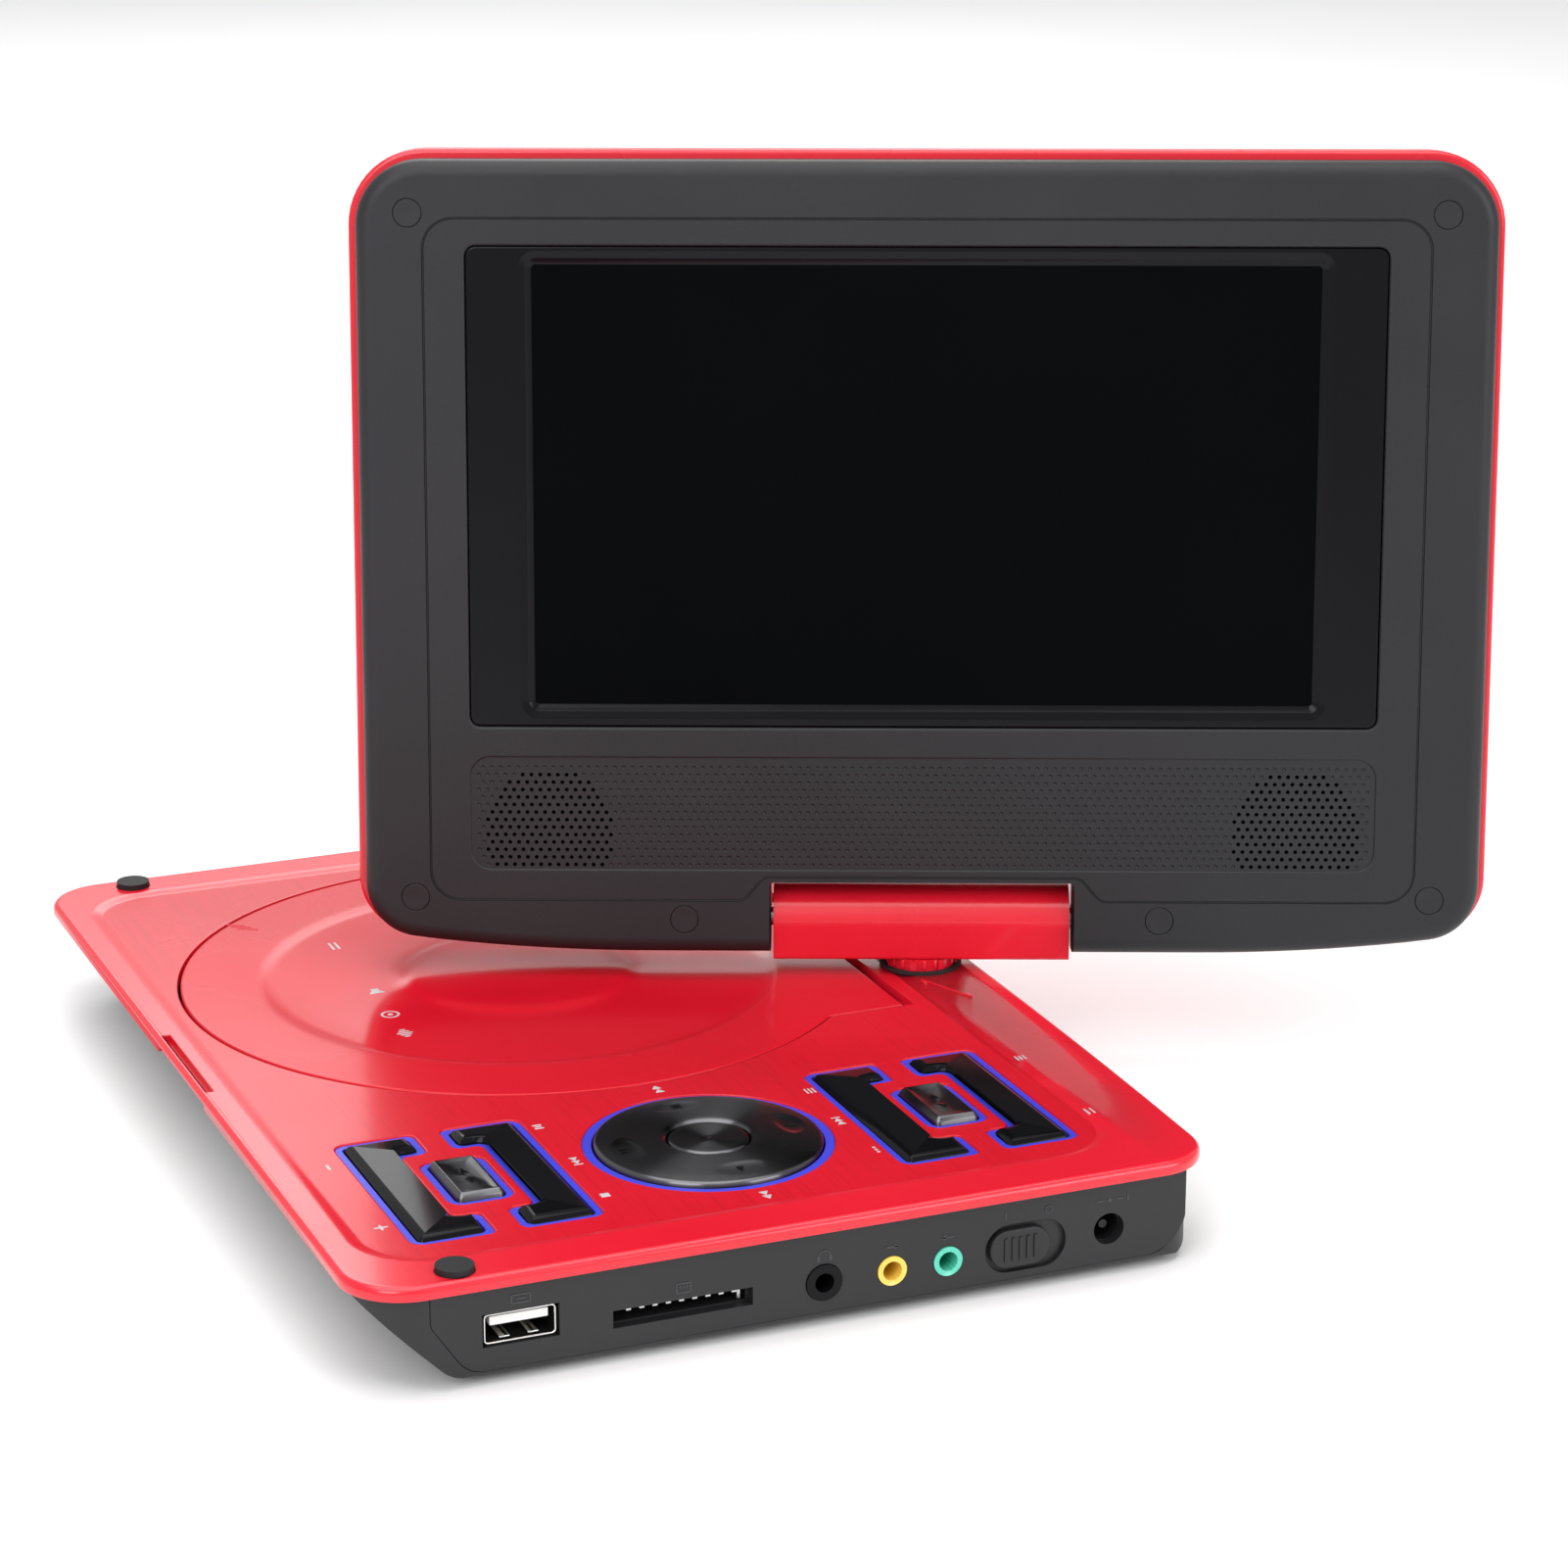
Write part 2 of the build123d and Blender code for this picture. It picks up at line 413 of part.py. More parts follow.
BARREL = Plane(origin=O, x_dir=u_dir, z_dir=n_dir)      # local: along the barrel, up, towards the viewer
LID = Plane(origin=O, x_dir=u_dir, z_dir=nn_dir)        # local: across the screen, up the screen, out of it

post = cyl(POST_R, 18.25, AXIS_Z + BARREL_LOW, SWIVEL_X, SWIVEL_Y) + cyl(5.0, 16.45, 18.3, SWIVEL_X, SWIVEL_Y)
post -= cyl(4.45, 15, 30, SWIVEL_X, SWIVEL_Y)
for k in range(8):
    a = math.radians(45 * k + 10)
    post += Pos(SWIVEL_X + 7.0 * math.cos(a), SWIVEL_Y + 7.0 * math.sin(a), 22.6) * Rot(0, 0, 45 * k + 10) * Box(0.9, 1.3, 2.1)
save(post, "swivel_post")
save(cyl(6.5, 15.1, 16.4, SWIVEL_X, SWIVEL_Y) - cyl(4.4, 14, 18, SWIVEL_X, SWIVEL_Y), "swivel_retainer")


def barrel_profile(t):
    """D section in (out of the screen, up): round top, flat sides and bottom."""
    r = BARREL_TOP - t
    with BuildSketch() as s:
        with BuildLine():
            Line((-r, BARREL_LOW + t), (r, BARREL_LOW + t))
            Line((r, BARREL_LOW + t), (r, 0))
            ThreePointArc((r, 0), (0, r), (-r, 0))
            Line((-r, 0), (-r, BARREL_LOW + t))
        make_face()
        if t == 0:
            fillet(s.vertices().sort_by(Axis.Y)[:2], 0.7)
    return s.sketch


def along_u(profile, u0, u1):
    """Profile in (w, v) swept from u0 to u1 in the barrel's local frame."""
    return extrude(Plane(origin=(u1, 0, 0), x_dir=(0, 0, 1), z_dir=(-1, 0, 0)) * (Rot(0, 0, 0) * profile), amount=u1 - u0)


tube = along_u(barrel_profile(0), -BARREL_HALF, BARREL_HALF) - along_u(barrel_profile(1.4), -BARREL_HALF + 1.4, BARREL_HALF - 1.4)
tube -= xcyl(2.15, -40, 40, 0, 0)
tube -= Pos(0, -8, 0) * Rot(90, 0, 0) * Cylinder(4.5, 8)
front_half = tube & box(-50, 50, -20, 20, 0.0, 20)
rear_half = tube & box(-50, 50, -20, 20, -20, 0.0)
save(BARREL * front_half, "hinge_cover_front")
save(BARREL * rear_half, "hinge_cover_rear")
steel = box(-24, 24, -5.5, -4.3, -4.6, 4.6)
for s in (-1, 1):
    a, b = sorted((s * 22.8, s * 24.0))
    steel += box(a, b, -5.5, 3.2, -4.0, 4.0)
steel += Pos(0, -4.3 - (AXIS_Z - 4.3 - 15.1) / 2, 0) * Rot(90, 0, 0) * Cylinder(4.35, AXIS_Z - 4.3 - 15.1)
steel -= Pos(0, -10, 0) * Rot(90, 0, 0) * Cylinder(3.2, 30)
steel -= xcyl(2.1, -40, 40, 0, 0)
save(BARREL * steel, "hinge_bracket")
pins = []
for s in (-1, 1):
    a, b = sorted((s * 13.0, s * 38.0))
    pins.append((xcyl(2.0, a, b, 0, 0) + xcyl(3.6, *sorted((s * 14.0, s * 22.7)), 0, 0)).solid())
save(BARREL * Compound(children=pins), "tilt_pins")


# ------------------------------------------------------------ screen unit
def lid_outline(half, top_v, low_v, rt, rb):
    """Rounded rectangle whose bottom edge is straight in the middle and lifts towards the ends."""
    flat, lift_r = 55.0, 394.0
    end_v = low_v + (half - flat) ** 2 / (2 * lift_r)
    mid_u = (half + flat) / 2
    mid_v = low_v + (mid_u - flat) ** 2 / (2 * lift_r)
    with BuildSketch() as s:
        with BuildLine():
            Line((-flat, low_v), (flat, low_v))
            ThreePointArc((flat, low_v), (mid_u, mid_v), (half, end_v))
            Line((half, end_v), (half, top_v))
            Line((half, top_v), (-half, top_v))
            Line((-half, top_v), (-half, end_v))
            ThreePointArc((-half, end_v), (-mid_u, mid_v), (-flat, low_v))
        make_face()
        v = s.vertices().sort_by(Axis.Y)
        fillet(v[-2:], rt)
        ends = [q for q in s.vertices() if abs(abs(q.X) - half) < 0.01 and q.Y < 20]
        fillet(ends, rb)
    return s.sketch


RT, RB = 15.0, 12.0
LIP = LID_HALF - BEZEL_HALF
shell_low = SHELL_BOTTOM
shell = up(lid_outline(LID_HALF, LID_TOP, shell_low, RT, RB), LID_BACK_W, LIP_W)
shell = fillet(shell.edges().group_by(Axis.Z)[0], 4.0)
shell = fillet(shell.edges().group_by(Axis.Z)[-1], 0.9)
shell_solid = shell
shell -= up(lid_outline(LID_HALF - LIP, LID_TOP - LIP, shell_low + LIP, RT - LIP, RB - LIP), LID_BACK_W + 1.8, LIP_W + 1)
notch = box(-NOTCH_HALF, NOTCH_HALF, -20, NOTCH_TOP, -20, 20)
shell += box(-NOTCH_HALF - 1.6, NOTCH_HALF + 1.6, shell_low, NOTCH_TOP + 1.6, LID_BACK_W + 0.2, LIP_W - 0.02) & shell_solid
shell -= notch
shell -= xcyl(2.6, -33, 33, 0, 0)
LID_SCREWS = [(-101.0, 141.5), (101.0, 141.5), (-101.3, 5.4), (101.3, 5.4), (-47.5, 1.0), (47.5, 1.0)]
for u, v in LID_SCREWS:
    shell += cyl(2.6, LID_BACK_W + 1.0, 1.0, u, v) - cyl(1.0, -4.0, 2, u, v)
for s_ in (-1, 1):
    for v in (17.0, 31.0):
        shell += cyl(2.2, LID_BACK_W + 1.6, -4.2, s_ * 40.0, v)
save(LID * shell, "screen_back_cover")

bezel_out = lid_outline(BEZEL_HALF, BEZEL_TOP, LID_BOTTOM, RT - LIP, 11.0)
bezel = up(bezel_out, LIP_W + 0.02, BEZEL_W)
bezel = fillet(bezel.edges().group_by(Axis.Z)[-1], 3.0)
bezel -= up(lid_outline(BEZEL_HALF - 2.0, BEZEL_TOP - 2.0, LID_BOTTOM + 2.0, RT - LIP - 2.0, 9.0), LIP_W - 1, BEZEL_W - 2.0)
skirt = up(lid_outline(LID_HALF - LIP - 0.1, LID_TOP - LIP - 0.1, shell_low + LIP + 0.1, RT - LIP - 0.1, RB - LIP - 0.1), -0.4, LIP_W + 0.6)
skirt -= up(lid_outline(LID_HALF - LIP - 1.6, LID_TOP - LIP - 1.6, shell_low + LIP + 1.6, RT - LIP - 1.6, RB - LIP - 1.6), -1, LIP_W + 1)
skirt -= box(-36.5, 36.5, -20, 12, -2, 4)
bezel += skirt
bezel += box(-NOTCH_HALF - 1.6, NOTCH_HALF + 1.6, LID_BOTTOM, NOTCH_TOP + 1.6, LIP_W + 0.02, BEZEL_W - 3.0) & up(lid_outline(BEZEL_HALF - 1, BEZEL_TOP, LID_BOTTOM + 0.02, RT, 11), LIP_W, BEZEL_W)
bezel -= notch
bezel -= xcyl(2.6, -33, 33, 0, 0)
bezel -= up(rr(-WIN_HALF, WIN_HALF, WIN_LOW, WIN_HIGH, 2.2), 0, 12)
# shallow moulded line around the window and grille, open at the hinge notch
groove = closed([(-98.4, 4.6), (-98.4, 140.8), (98.4, 140.8), (98.4, 4.6), (33.6, 4.6), (30.0, 8.6), (-30.0, 8.6), (-33.6, 4.6)], [6, 6, 6, 6, 0, 0, 0, 0])
groove_in = closed([(-97.8, 5.2), (-97.8, 140.2), (97.8, 140.2), (97.8, 5.2), (33.9, 5.2), (30.3, 9.2), (-30.3, 9.2), (-33.9, 5.2)], [5.4, 5.4, 5.4, 5.4, 0, 0, 0, 0])
bezel -= up(groove - groove_in, BEZEL_W - 0.45, BEZEL_W + 1)
GRILLE = (-90.0, 90.0, 11.2, 34.0)
bezel -= up(rr(*GRILLE, 4.0), BEZEL_W - 0.35, BEZEL_W + 1)
for side in (-1, 1):
    for k in range(5):
        bezel -= up(Pos(side * 74.0, 22.6 + (k - 2) * 4.4) * SlotOverall(26.0 - 4.0 * abs(k - 2), 1.6), 4, 10)
for u, v in LID_SCREWS:
    bezel += cyl(3.4, 4.0, BEZEL_W - 1.5, u, v)
    bezel -= cyl(2.85, BEZEL_W - 1.0, BEZEL_W + 1, u, v)
    bezel -= cyl(2.3, 5.5, BEZEL_W + 1, u, v)
    bezel -= cyl(1.3, 3, BEZEL_W + 1, u, v)
save(LID * bezel, "screen_bezel")
save(LID * Compound(children=[cyl(2.75, BEZEL_W - 1.0, BEZEL_W - 0.02, u, v).solid() for u, v in LID_SCREWS]), "screw_covers")
save(LID * Compound(children=[(cyl(2.0, 5.55, 7.0, u, v) + cyl(0.95, -3.5, 5.6, u, v)).solid() for u, v in LID_SCREWS]), "screen_screws")

frame_out = rr(-WIN_HALF + 0.1, WIN_HALF - 0.1, WIN_LOW + 0.1, WIN_HIGH - 0.1, 2.1)
frame = up(frame_out, 5.4, BEZEL_W - 0.45) + up(rr(-WIN_HALF - 2.5, WIN_HALF + 2.5, WIN_LOW - 2.0, WIN_HIGH + 2.5, 2.5), 5.0, BEZEL_W - 2.05)
aperture = loft([
    Pos(0, 0, LCD_W + 0.05) * rr(-LCD_HALF, LCD_HALF, LCD_LOW, LCD_HIGH, 0.6),
    Pos(0, 0, LCD_W + 1.55) * rr(-LCD_HALF - 1.5, LCD_HALF + 1.5, LCD_LOW - 1.5, LCD_HIGH + 1.5, 1.6)], ruled=True)
frame -= aperture
frame -= up(rr(-LCD_HALF, LCD_HALF, LCD_LOW, LCD_HIGH, 0.6), 4, LCD_W + 0.2)
frame -= box(-83.5, 83.5, 41.0, 134.6, 4, LCD_W)
save(LID * frame, "window_frame")
save(LID * up(rr(-83.2, 83.2, 41.3, 134.3, 0.8), 4.6, LCD_W), "lcd_panel")
save(LID * up(rr(-83.6, 83.6, 40.9, 134.7, 1.2), 1.5, 4.55), "backlight")
save(LID * up(rr(-40, 40, 60, 112, 1.5), -3.2, -2.0), "display_board")
save(LID * Compound(children=[(cyl(12.5, 1.5, 5.9, s * 74.0, 22.6) + cyl(8.0, -1.8, 1.6, s * 74.0, 22.6)).solid() for s in (-1, 1)]), "speakers")
arms = []
for s in (-1, 1):
    a, b = sorted((s * 32.7, s * 34.2))
    c, d = sorted((s * 32.7, s * 45.0))
    arm = box(a, b, -3.4, 12, -4.2, 3.9) + box(c, d, 12, 36, -4.2, -3.0) + box(a, b, 10, 36, -4.2, 0.5)
    arm -= xcyl(2.05, -60, 60, 0, 0)
    arms.append(arm.solid())
save(LID * Compound(children=arms), "screen_hinge_arms")
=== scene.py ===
import json
import math

import bmesh
import bpy
import numpy as np
from mathutils import Matrix, Vector
from mathutils.geometry import tessellate_polygon

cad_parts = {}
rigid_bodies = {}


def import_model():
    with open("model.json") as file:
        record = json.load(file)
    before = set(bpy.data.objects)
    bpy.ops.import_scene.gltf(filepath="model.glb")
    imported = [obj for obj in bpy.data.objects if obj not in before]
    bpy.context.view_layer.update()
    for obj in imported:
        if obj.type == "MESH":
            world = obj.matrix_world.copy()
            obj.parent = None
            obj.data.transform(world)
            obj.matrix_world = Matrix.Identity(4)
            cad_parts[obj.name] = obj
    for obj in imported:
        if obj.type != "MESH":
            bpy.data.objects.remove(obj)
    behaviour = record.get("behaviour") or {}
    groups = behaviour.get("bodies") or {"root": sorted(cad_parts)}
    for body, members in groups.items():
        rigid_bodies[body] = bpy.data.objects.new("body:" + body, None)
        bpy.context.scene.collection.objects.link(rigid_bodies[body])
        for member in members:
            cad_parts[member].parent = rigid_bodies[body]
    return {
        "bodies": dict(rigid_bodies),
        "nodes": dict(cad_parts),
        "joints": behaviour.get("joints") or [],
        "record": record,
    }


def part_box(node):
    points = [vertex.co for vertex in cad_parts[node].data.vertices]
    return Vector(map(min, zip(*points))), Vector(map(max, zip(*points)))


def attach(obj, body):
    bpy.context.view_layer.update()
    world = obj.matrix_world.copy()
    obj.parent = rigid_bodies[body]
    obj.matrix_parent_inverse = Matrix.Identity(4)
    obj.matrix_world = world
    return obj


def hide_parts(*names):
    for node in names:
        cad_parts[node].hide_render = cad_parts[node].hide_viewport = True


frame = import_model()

NODES, BODIES = frame["nodes"], frame["bodies"]
JOINTS = {j["name"]: j for j in frame["joints"]}
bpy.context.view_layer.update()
MM = 0.001


def lo(n):
    return np.array(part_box(n)[0]) * 1000


def hi(n):
    return np.array(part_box(n)[1]) * 1000


# ---------------------------------------------------------------- frames and key sizes (mm)
TILT = JOINTS["screen_tilt"]
O = np.array(TILT["pos_m"]) * 1000                      # tilt axis, on the swivel axis
U = np.array(TILT["axis"]); U /= np.linalg.norm(U)
UPZ = np.array([0.0, 0.0, 1.0])
N = np.cross(U, UPZ)                                     # horizontal, out of the screen
LEAN = math.radians(6.477)
W = N * math.cos(LEAN) + UPZ * math.sin(LEAN)            # out of the screen
V = np.cross(W, U)                                       # up the screen
RIM = float(hi("top_panel")[2])
PANEL = float(hi("disc_door")[2]) - 0.5                  # flat inner panel
BASE_LO, BASE_HI = lo("top_panel"), hi("top_panel")
DISC = (lo("disc_hub") + hi("disc_hub")) / 2
DISC = (float(round(DISC[0], 1)), float(JOINTS["disc_spin"]["pos_m"][1] * 1000))
DIAL = ((lo("play_button") + hi("play_button")) / 2)[:2]
FACE_X = float(hi("port_panel")[0])


# ---------------------------------------------------------------- materials
def nt(name):
    m = bpy.data.materials.new(name)
    m.use_nodes = True
    t = m.node_tree
    b = next(n for n in t.nodes if n.type == "BSDF_PRINCIPLED")
    return m, t, b


def node(t, kind, **kw):
    n = t.nodes.new(kind)
    for k, v in kw.items():
        if k in n.inputs:
            n.inputs[k].default_value = v
        else:
            setattr(n, k, v)
    return n


def coords(t, scale=(1, 1, 1), rot=(0, 0, 0), loc=(0, 0, 0)):
    c = node(t, "ShaderNodeTexCoord")
    m = node(t, "ShaderNodeMapping")
    m.inputs["Scale"].default_value = scale
    m.inputs["Rotation"].default_value = rot
    m.inputs["Location"].default_value = loc
    t.links.new(c.outputs["Object"], m.inputs["Vector"])
    return m.outputs["Vector"]


def noise(t, vec, scale, detail=3.0, rough=0.55):
    n = node(t, "ShaderNodeTexNoise")
    n.inputs["Scale"].default_value = scale
    n.inputs["Detail"].default_value = detail
    n.inputs["Roughness"].default_value = rough
    t.links.new(vec, n.inputs["Vector"])
    return n.outputs["Fac"]


def ramp(t, fac, stops):
    r = node(t, "ShaderNodeValToRGB")
    e = r.color_ramp.elements
    while len(e) < len(stops):
        e.new(0.5)
    for el, (p, c) in zip(e, stops):
        el.position = p
        el.color = (*c, 1) if len(c) == 3 else c
    t.links.new(fac, r.inputs["Fac"])
    return r.outputs["Color"]


def grey(a):
    return (a, a, a)


def rng(t, fac, a, b, fa=0.3, fb=0.7):
    m = node(t, "ShaderNodeMapRange")
    m.inputs["From Min"].default_value = fa
    m.inputs["From Max"].default_value = fb
    m.inputs["To Min"].default_value = a
    m.inputs["To Max"].default_value = b
    t.links.new(fac, m.inputs["Value"])
    return m.outputs["Result"]


def bump(t, b, height, strength, dist, below=None):
    n = node(t, "ShaderNodeBump")
    n.inputs["Strength"].default_value = strength
    n.inputs["Distance"].default_value = dist
    t.links.new(height, n.inputs["Height"])
    if below is not None:
        t.links.new(below, n.inputs["Normal"])
    t.links.new(n.outputs["Normal"], b.inputs["Normal"])
    return n.outputs["Normal"]


# mask of convex edges found by pointiness, used for the painted edge highlight
def painted_edge_mask(t, lo_=0.52, hi_=0.62):
    g = node(t, "ShaderNodeNewGeometry")
    return rng(t, g.outputs["Pointiness"], 0.0, 1.0, lo_, hi_)


def mix_rgb(t, fac, a, b):
    m = node(t, "ShaderNodeMix", data_type="RGBA")
    for key, val in (("A", a), ("B", b)):
        s = [i for i in m.inputs if i.name == key and i.type == "RGBA"][0]
        if isinstance(val, tuple):
            s.default_value = (*val, 1)
        else:
            t.links.new(val, s)
    f = [i for i in m.inputs if i.name == "Factor" and i.type == "VALUE"][0]
    if isinstance(fac, float):
        f.default_value = fac
    else:
        t.links.new(fac, f)
    return [o for o in m.outputs if o.type == "RGBA"][0]


def plastic(name, col, col2, rough=(0.3, 0.36), grain=0.0, grain_scale=4000.0, coat=0.0, coat_rough=0.05, spec=0.5,
            brush=None, brush_strength=0.0, edge_highlight=None, soft=0.0):
    """Moulded plastic: slow colour drift, roughness smudges, fine grain or brushed lines, optional painted highlight
    that lightens convex edges.
    """
    m, t, b = nt(name)
    v = coords(t)
    slow = noise(t, v, 18.0, 4.0)
    base = ramp(t, slow, [(0.3, col), (0.72, col2)])
    # painted highlight: base colour mixed towards a lighter colour on convex edges
    if edge_highlight is not None:
        base = mix_rgb(t, painted_edge_mask(t), base, edge_highlight)
    t.links.new(base, b.inputs["Base Color"])
    smudge = noise(t, v, 30.0, 2.0, 0.5)
    t.links.new(rng(t, smudge, rough[0], rough[1]), b.inputs["Roughness"])
    b.inputs["Specular IOR Level"].default_value = spec
    if coat:
        b.inputs["Coat Weight"].default_value = coat
        b.inputs["Coat Roughness"].default_value = coat_rough
    below = None
    if grain:
        g = noise(t, v, grain_scale, 2.0, 0.6)
        below = bump(t, b, g, grain, 0.00006)
    if brush is not None:
        bv = coords(t, scale=brush)
        g = noise(t, bv, 1.0, 4.0, 0.7)
        streak = noise(t, coords(t, scale=(brush[0] * 0.22, brush[1] * 0.22, brush[2])), 1.0, 5.0, 0.8)
        t.links.new(mix_rgb(t, rng(t, streak, 0.0, 0.55, 0.50, 0.74), base, tuple(k * 0.62 for k in col)), b.inputs["Base Color"])
        below = bump(t, b, g, brush_strength, 0.00005, below)
    if soft:
        g = noise(t, v, 30.0, 2.0)
        bump(t, b, g, soft, 0.0004, below)
    return m


MAT = {}
RED, RED2 = (0.62, 0.006, 0.020), (0.68, 0.009, 0.026)
MAT["red_shell"] = plastic("red_shell", RED, RED2, rough=(0.25, 0.30), coat=0.35, coat_rough=0.12,
                           spec=0.42, soft=0.010)
MAT["red_brushed"] = plastic("red_brushed", (0.52, 0.005, 0.015), (0.57, 0.007, 0.020), spec=0.24, rough=(0.26, 0.33), coat=0.22, coat_rough=0.14,
                             brush=(160.0, 5200.0, 160.0), brush_strength=0.12)
MAT["red_polished"] = plastic("red_polished", RED, RED2, rough=(0.10, 0.14), coat=0.8, coat_rough=0.03, grain=0.02, grain_scale=900.0)
MAT["black_case"] = plastic("black_case", (0.0115, 0.0115, 0.0130), (0.0150, 0.0150, 0.0165), rough=(0.40, 0.50), grain=0.35, grain_scale=5200.0, spec=0.42)
MAT["bezel_grey"] = plastic("bezel_grey", (0.0125, 0.0122, 0.0142), (0.0165, 0.0161, 0.0182), rough=(0.40, 0.50), grain=0.5, grain_scale=4200.0, spec=0.34)
MAT["gloss_black"] = plastic("gloss_black", (0.0035, 0.0035, 0.0042), (0.0050, 0.0050, 0.0060), rough=(0.09, 0.14), coat=0.03, coat_rough=0.03, spec=0.12, soft=0.02)
MAT["window_black"] = plastic("window_black", (0.0030, 0.0028, 0.0040), (0.0042, 0.0040, 0.0055), rough=(0.16, 0.22), spec=0.16, soft=0.015)
MAT["blue_trim"] = plastic("blue_trim", (0.035, 0.040, 0.50), (0.045, 0.052, 0.58), rough=(0.34, 0.42), grain=0.12)
MAT["screen_glass"] = plastic("screen_glass", (0.0020, 0.0023, 0.0027), (0.0024, 0.0027, 0.0031), rough=(0.40, 0.44), spec=0.008, grain=0.10, grain_scale=7000.0)
MAT["rubber_black"] = plastic("rubber_black", (0.010, 0.010, 0.011), (0.016, 0.016, 0.017), rough=(0.62, 0.78), grain=0.6, grain_scale=3000.0, spec=0.35)
# jacks: the lighter colour on their convex edges is a painted highlight
MAT["yellow_jack"] = plastic("yellow_jack", (0.80, 0.50, 0.02), (0.86, 0.56, 0.03), rough=(0.22, 0.30), grain=0.05, edge_highlight=(0.9, 0.66, 0.2))
MAT["green_jack"] = plastic("green_jack", (0.012, 0.44, 0.30), (0.018, 0.50, 0.35), rough=(0.22, 0.30), grain=0.05, edge_highlight=(0.2, 0.66, 0.5))
MAT["battery_wrap"] = plastic("battery_wrap", (0.02, 0.06, 0.22), (0.03, 0.09, 0.30), rough=(0.25, 0.4), grain=0.15, grain_scale=900.0)
MAT["white_plastic"] = plastic("white_plastic", (0.72, 0.71, 0.68), (0.80, 0.79, 0.77), rough=(0.4, 0.5), grain=0.2)
MAT["mark_dark_red"] = plastic("mark_dark_red", (0.36, 0.006, 0.016), (0.42, 0.010, 0.020), rough=(0.4, 0.5), grain=0.1)
MAT["print_dark"] = plastic("print_dark", (0.020, 0.012, 0.030), (0.035, 0.020, 0.050), rough=(0.45, 0.55), grain=0.2)
MAT["print_silver"] = plastic("print_silver", (0.42, 0.40, 0.42), (0.50, 0.48, 0.50), rough=(0.35, 0.45), grain=0.2)
MAT["emboss_grey"] = plastic("emboss_grey", (0.028, 0.028, 0.032), (0.036, 0.036, 0.040), rough=(0.32, 0.4), grain=0.2)
# near black; the USB mouth uses it as painted shade on its inner walls
MAT["hole_dark"] = plastic("hole_dark", (0.002, 0.002, 0.002), (0.004, 0.004, 0.004), rough=(0.8, 0.9), grain=0.8, grain_scale=2500.0, spec=0.1)


def metal(name, col, col2, rough, brush=(60.0, 5200.0, 60.0), strength=0.12):
    m, t, b = nt(name)
    v = coords(t)
    t.links.new(ramp(t, noise(t, v, 40.0, 4.0), [(0.3, col), (0.7, col2)]), b.inputs["Base Color"])
    b.inputs["Metallic"].default_value = 1.0
    t.links.new(rng(t, noise(t, v, 160.0, 4.0), rough[0], rough[1]), b.inputs["Roughness"])
    bv = coords(t, scale=brush)
    bump(t, b, noise(t, bv, 1.0, 3.0, 0.6), strength, 0.00004)
    return m


MAT["steel"] = metal("steel", (0.50, 0.50, 0.52), (0.60, 0.60, 0.61), (0.24, 0.36))
MAT["socket_metal"] = metal("socket_metal", (0.74, 0.73, 0.71), (0.82, 0.81, 0.80), (0.14, 0.22), strength=0.06)
MAT["aluminium"] = metal("aluminium", (0.62, 0.62, 0.64), (0.70, 0.70, 0.71), (0.30, 0.42))
MAT["gold_contact"] = metal("gold_contact", (0.80, 0.58, 0.28), (0.86, 0.66, 0.36), (0.2, 0.3), strength=0.05)


def board(name):
    m, t, b = nt(name)
    v = coords(t, scale=(330, 330, 330))
    w = node(t, "ShaderNodeTexVoronoi", feature="DISTANCE_TO_EDGE")
    w.inputs["Scale"].default_value = 1.0
    t.links.new(v, w.inputs["Vector"])
    t.links.new(ramp(t, w.outputs["Distance"], [(0.0, (0.03, 0.24, 0.10)), (0.10, (0.012, 0.12, 0.05))]), b.inputs["Base Color"])
    t.links.new(rng(t, noise(t, v, 2.0), 0.3, 0.45), b.inputs["Roughness"])
    bump(t, b, w.outputs["Distance"], 0.2, 0.00005)
    return m


MAT["board_green"] = board("board_green")


def lens(name):
    m, t, b = nt(name)
    v = coords(t)
    t.links.new(ramp(t, noise(t, v, 300.0), [(0.3, (0.25, 0.12, 0.55)), (0.7, (0.12, 0.3, 0.6))]), b.inputs["Base Color"])
    b.inputs["Roughness"].default_value = 0.04
    b.inputs["Coat Weight"].default_value = 1.0
    return m


MAT["lens_glass"] = lens("lens_glass")


def dial_black(name, centre):
    """Black dial turned on a lathe: very fine rings about its centre."""
    m, t, b = nt(name)
    v = coords(t, loc=(-centre[0] * MM, -centre[1] * MM, 0))
    t.links.new(ramp(t, noise(t, v, 60.0), [(0.3, (0.120, 0.120, 0.126)), (0.7, (0.150, 0.150, 0.158))]), b.inputs["Base Color"])
    b.inputs["Metallic"].default_value = 1.0
    t.links.new(rng(t, noise(t, v, 40.0, 3.0), 0.26, 0.28), b.inputs["Roughness"])
    b.inputs["Anisotropic"].default_value = 0.95
    b.inputs["Anisotropic Rotation"].default_value = 0.25
    tan = node(t, "ShaderNodeTangent", direction_type="RADIAL", axis="Z")
    t.links.new(tan.outputs["Tangent"], b.inputs["Tangent"])
    b.inputs["Specular IOR Level"].default_value = 0.75
    w = node(t, "ShaderNodeTexWave", wave_type="RINGS", rings_direction="Z", wave_profile="SIN")
    w.inputs["Scale"].default_value = 900.0
    w.inputs["Distortion"].default_value = 0.0
    t.links.new(v, w.inputs["Vector"])
    bump(t, b, w.outputs["Fac"], 0.05, 0.00002)
    b.inputs["Coat Weight"].default_value = 0.12
    b.inputs["Coat Roughness"].default_value = 0.06
    return m


MAT["dial_black"] = dial_black("dial_black", DIAL)

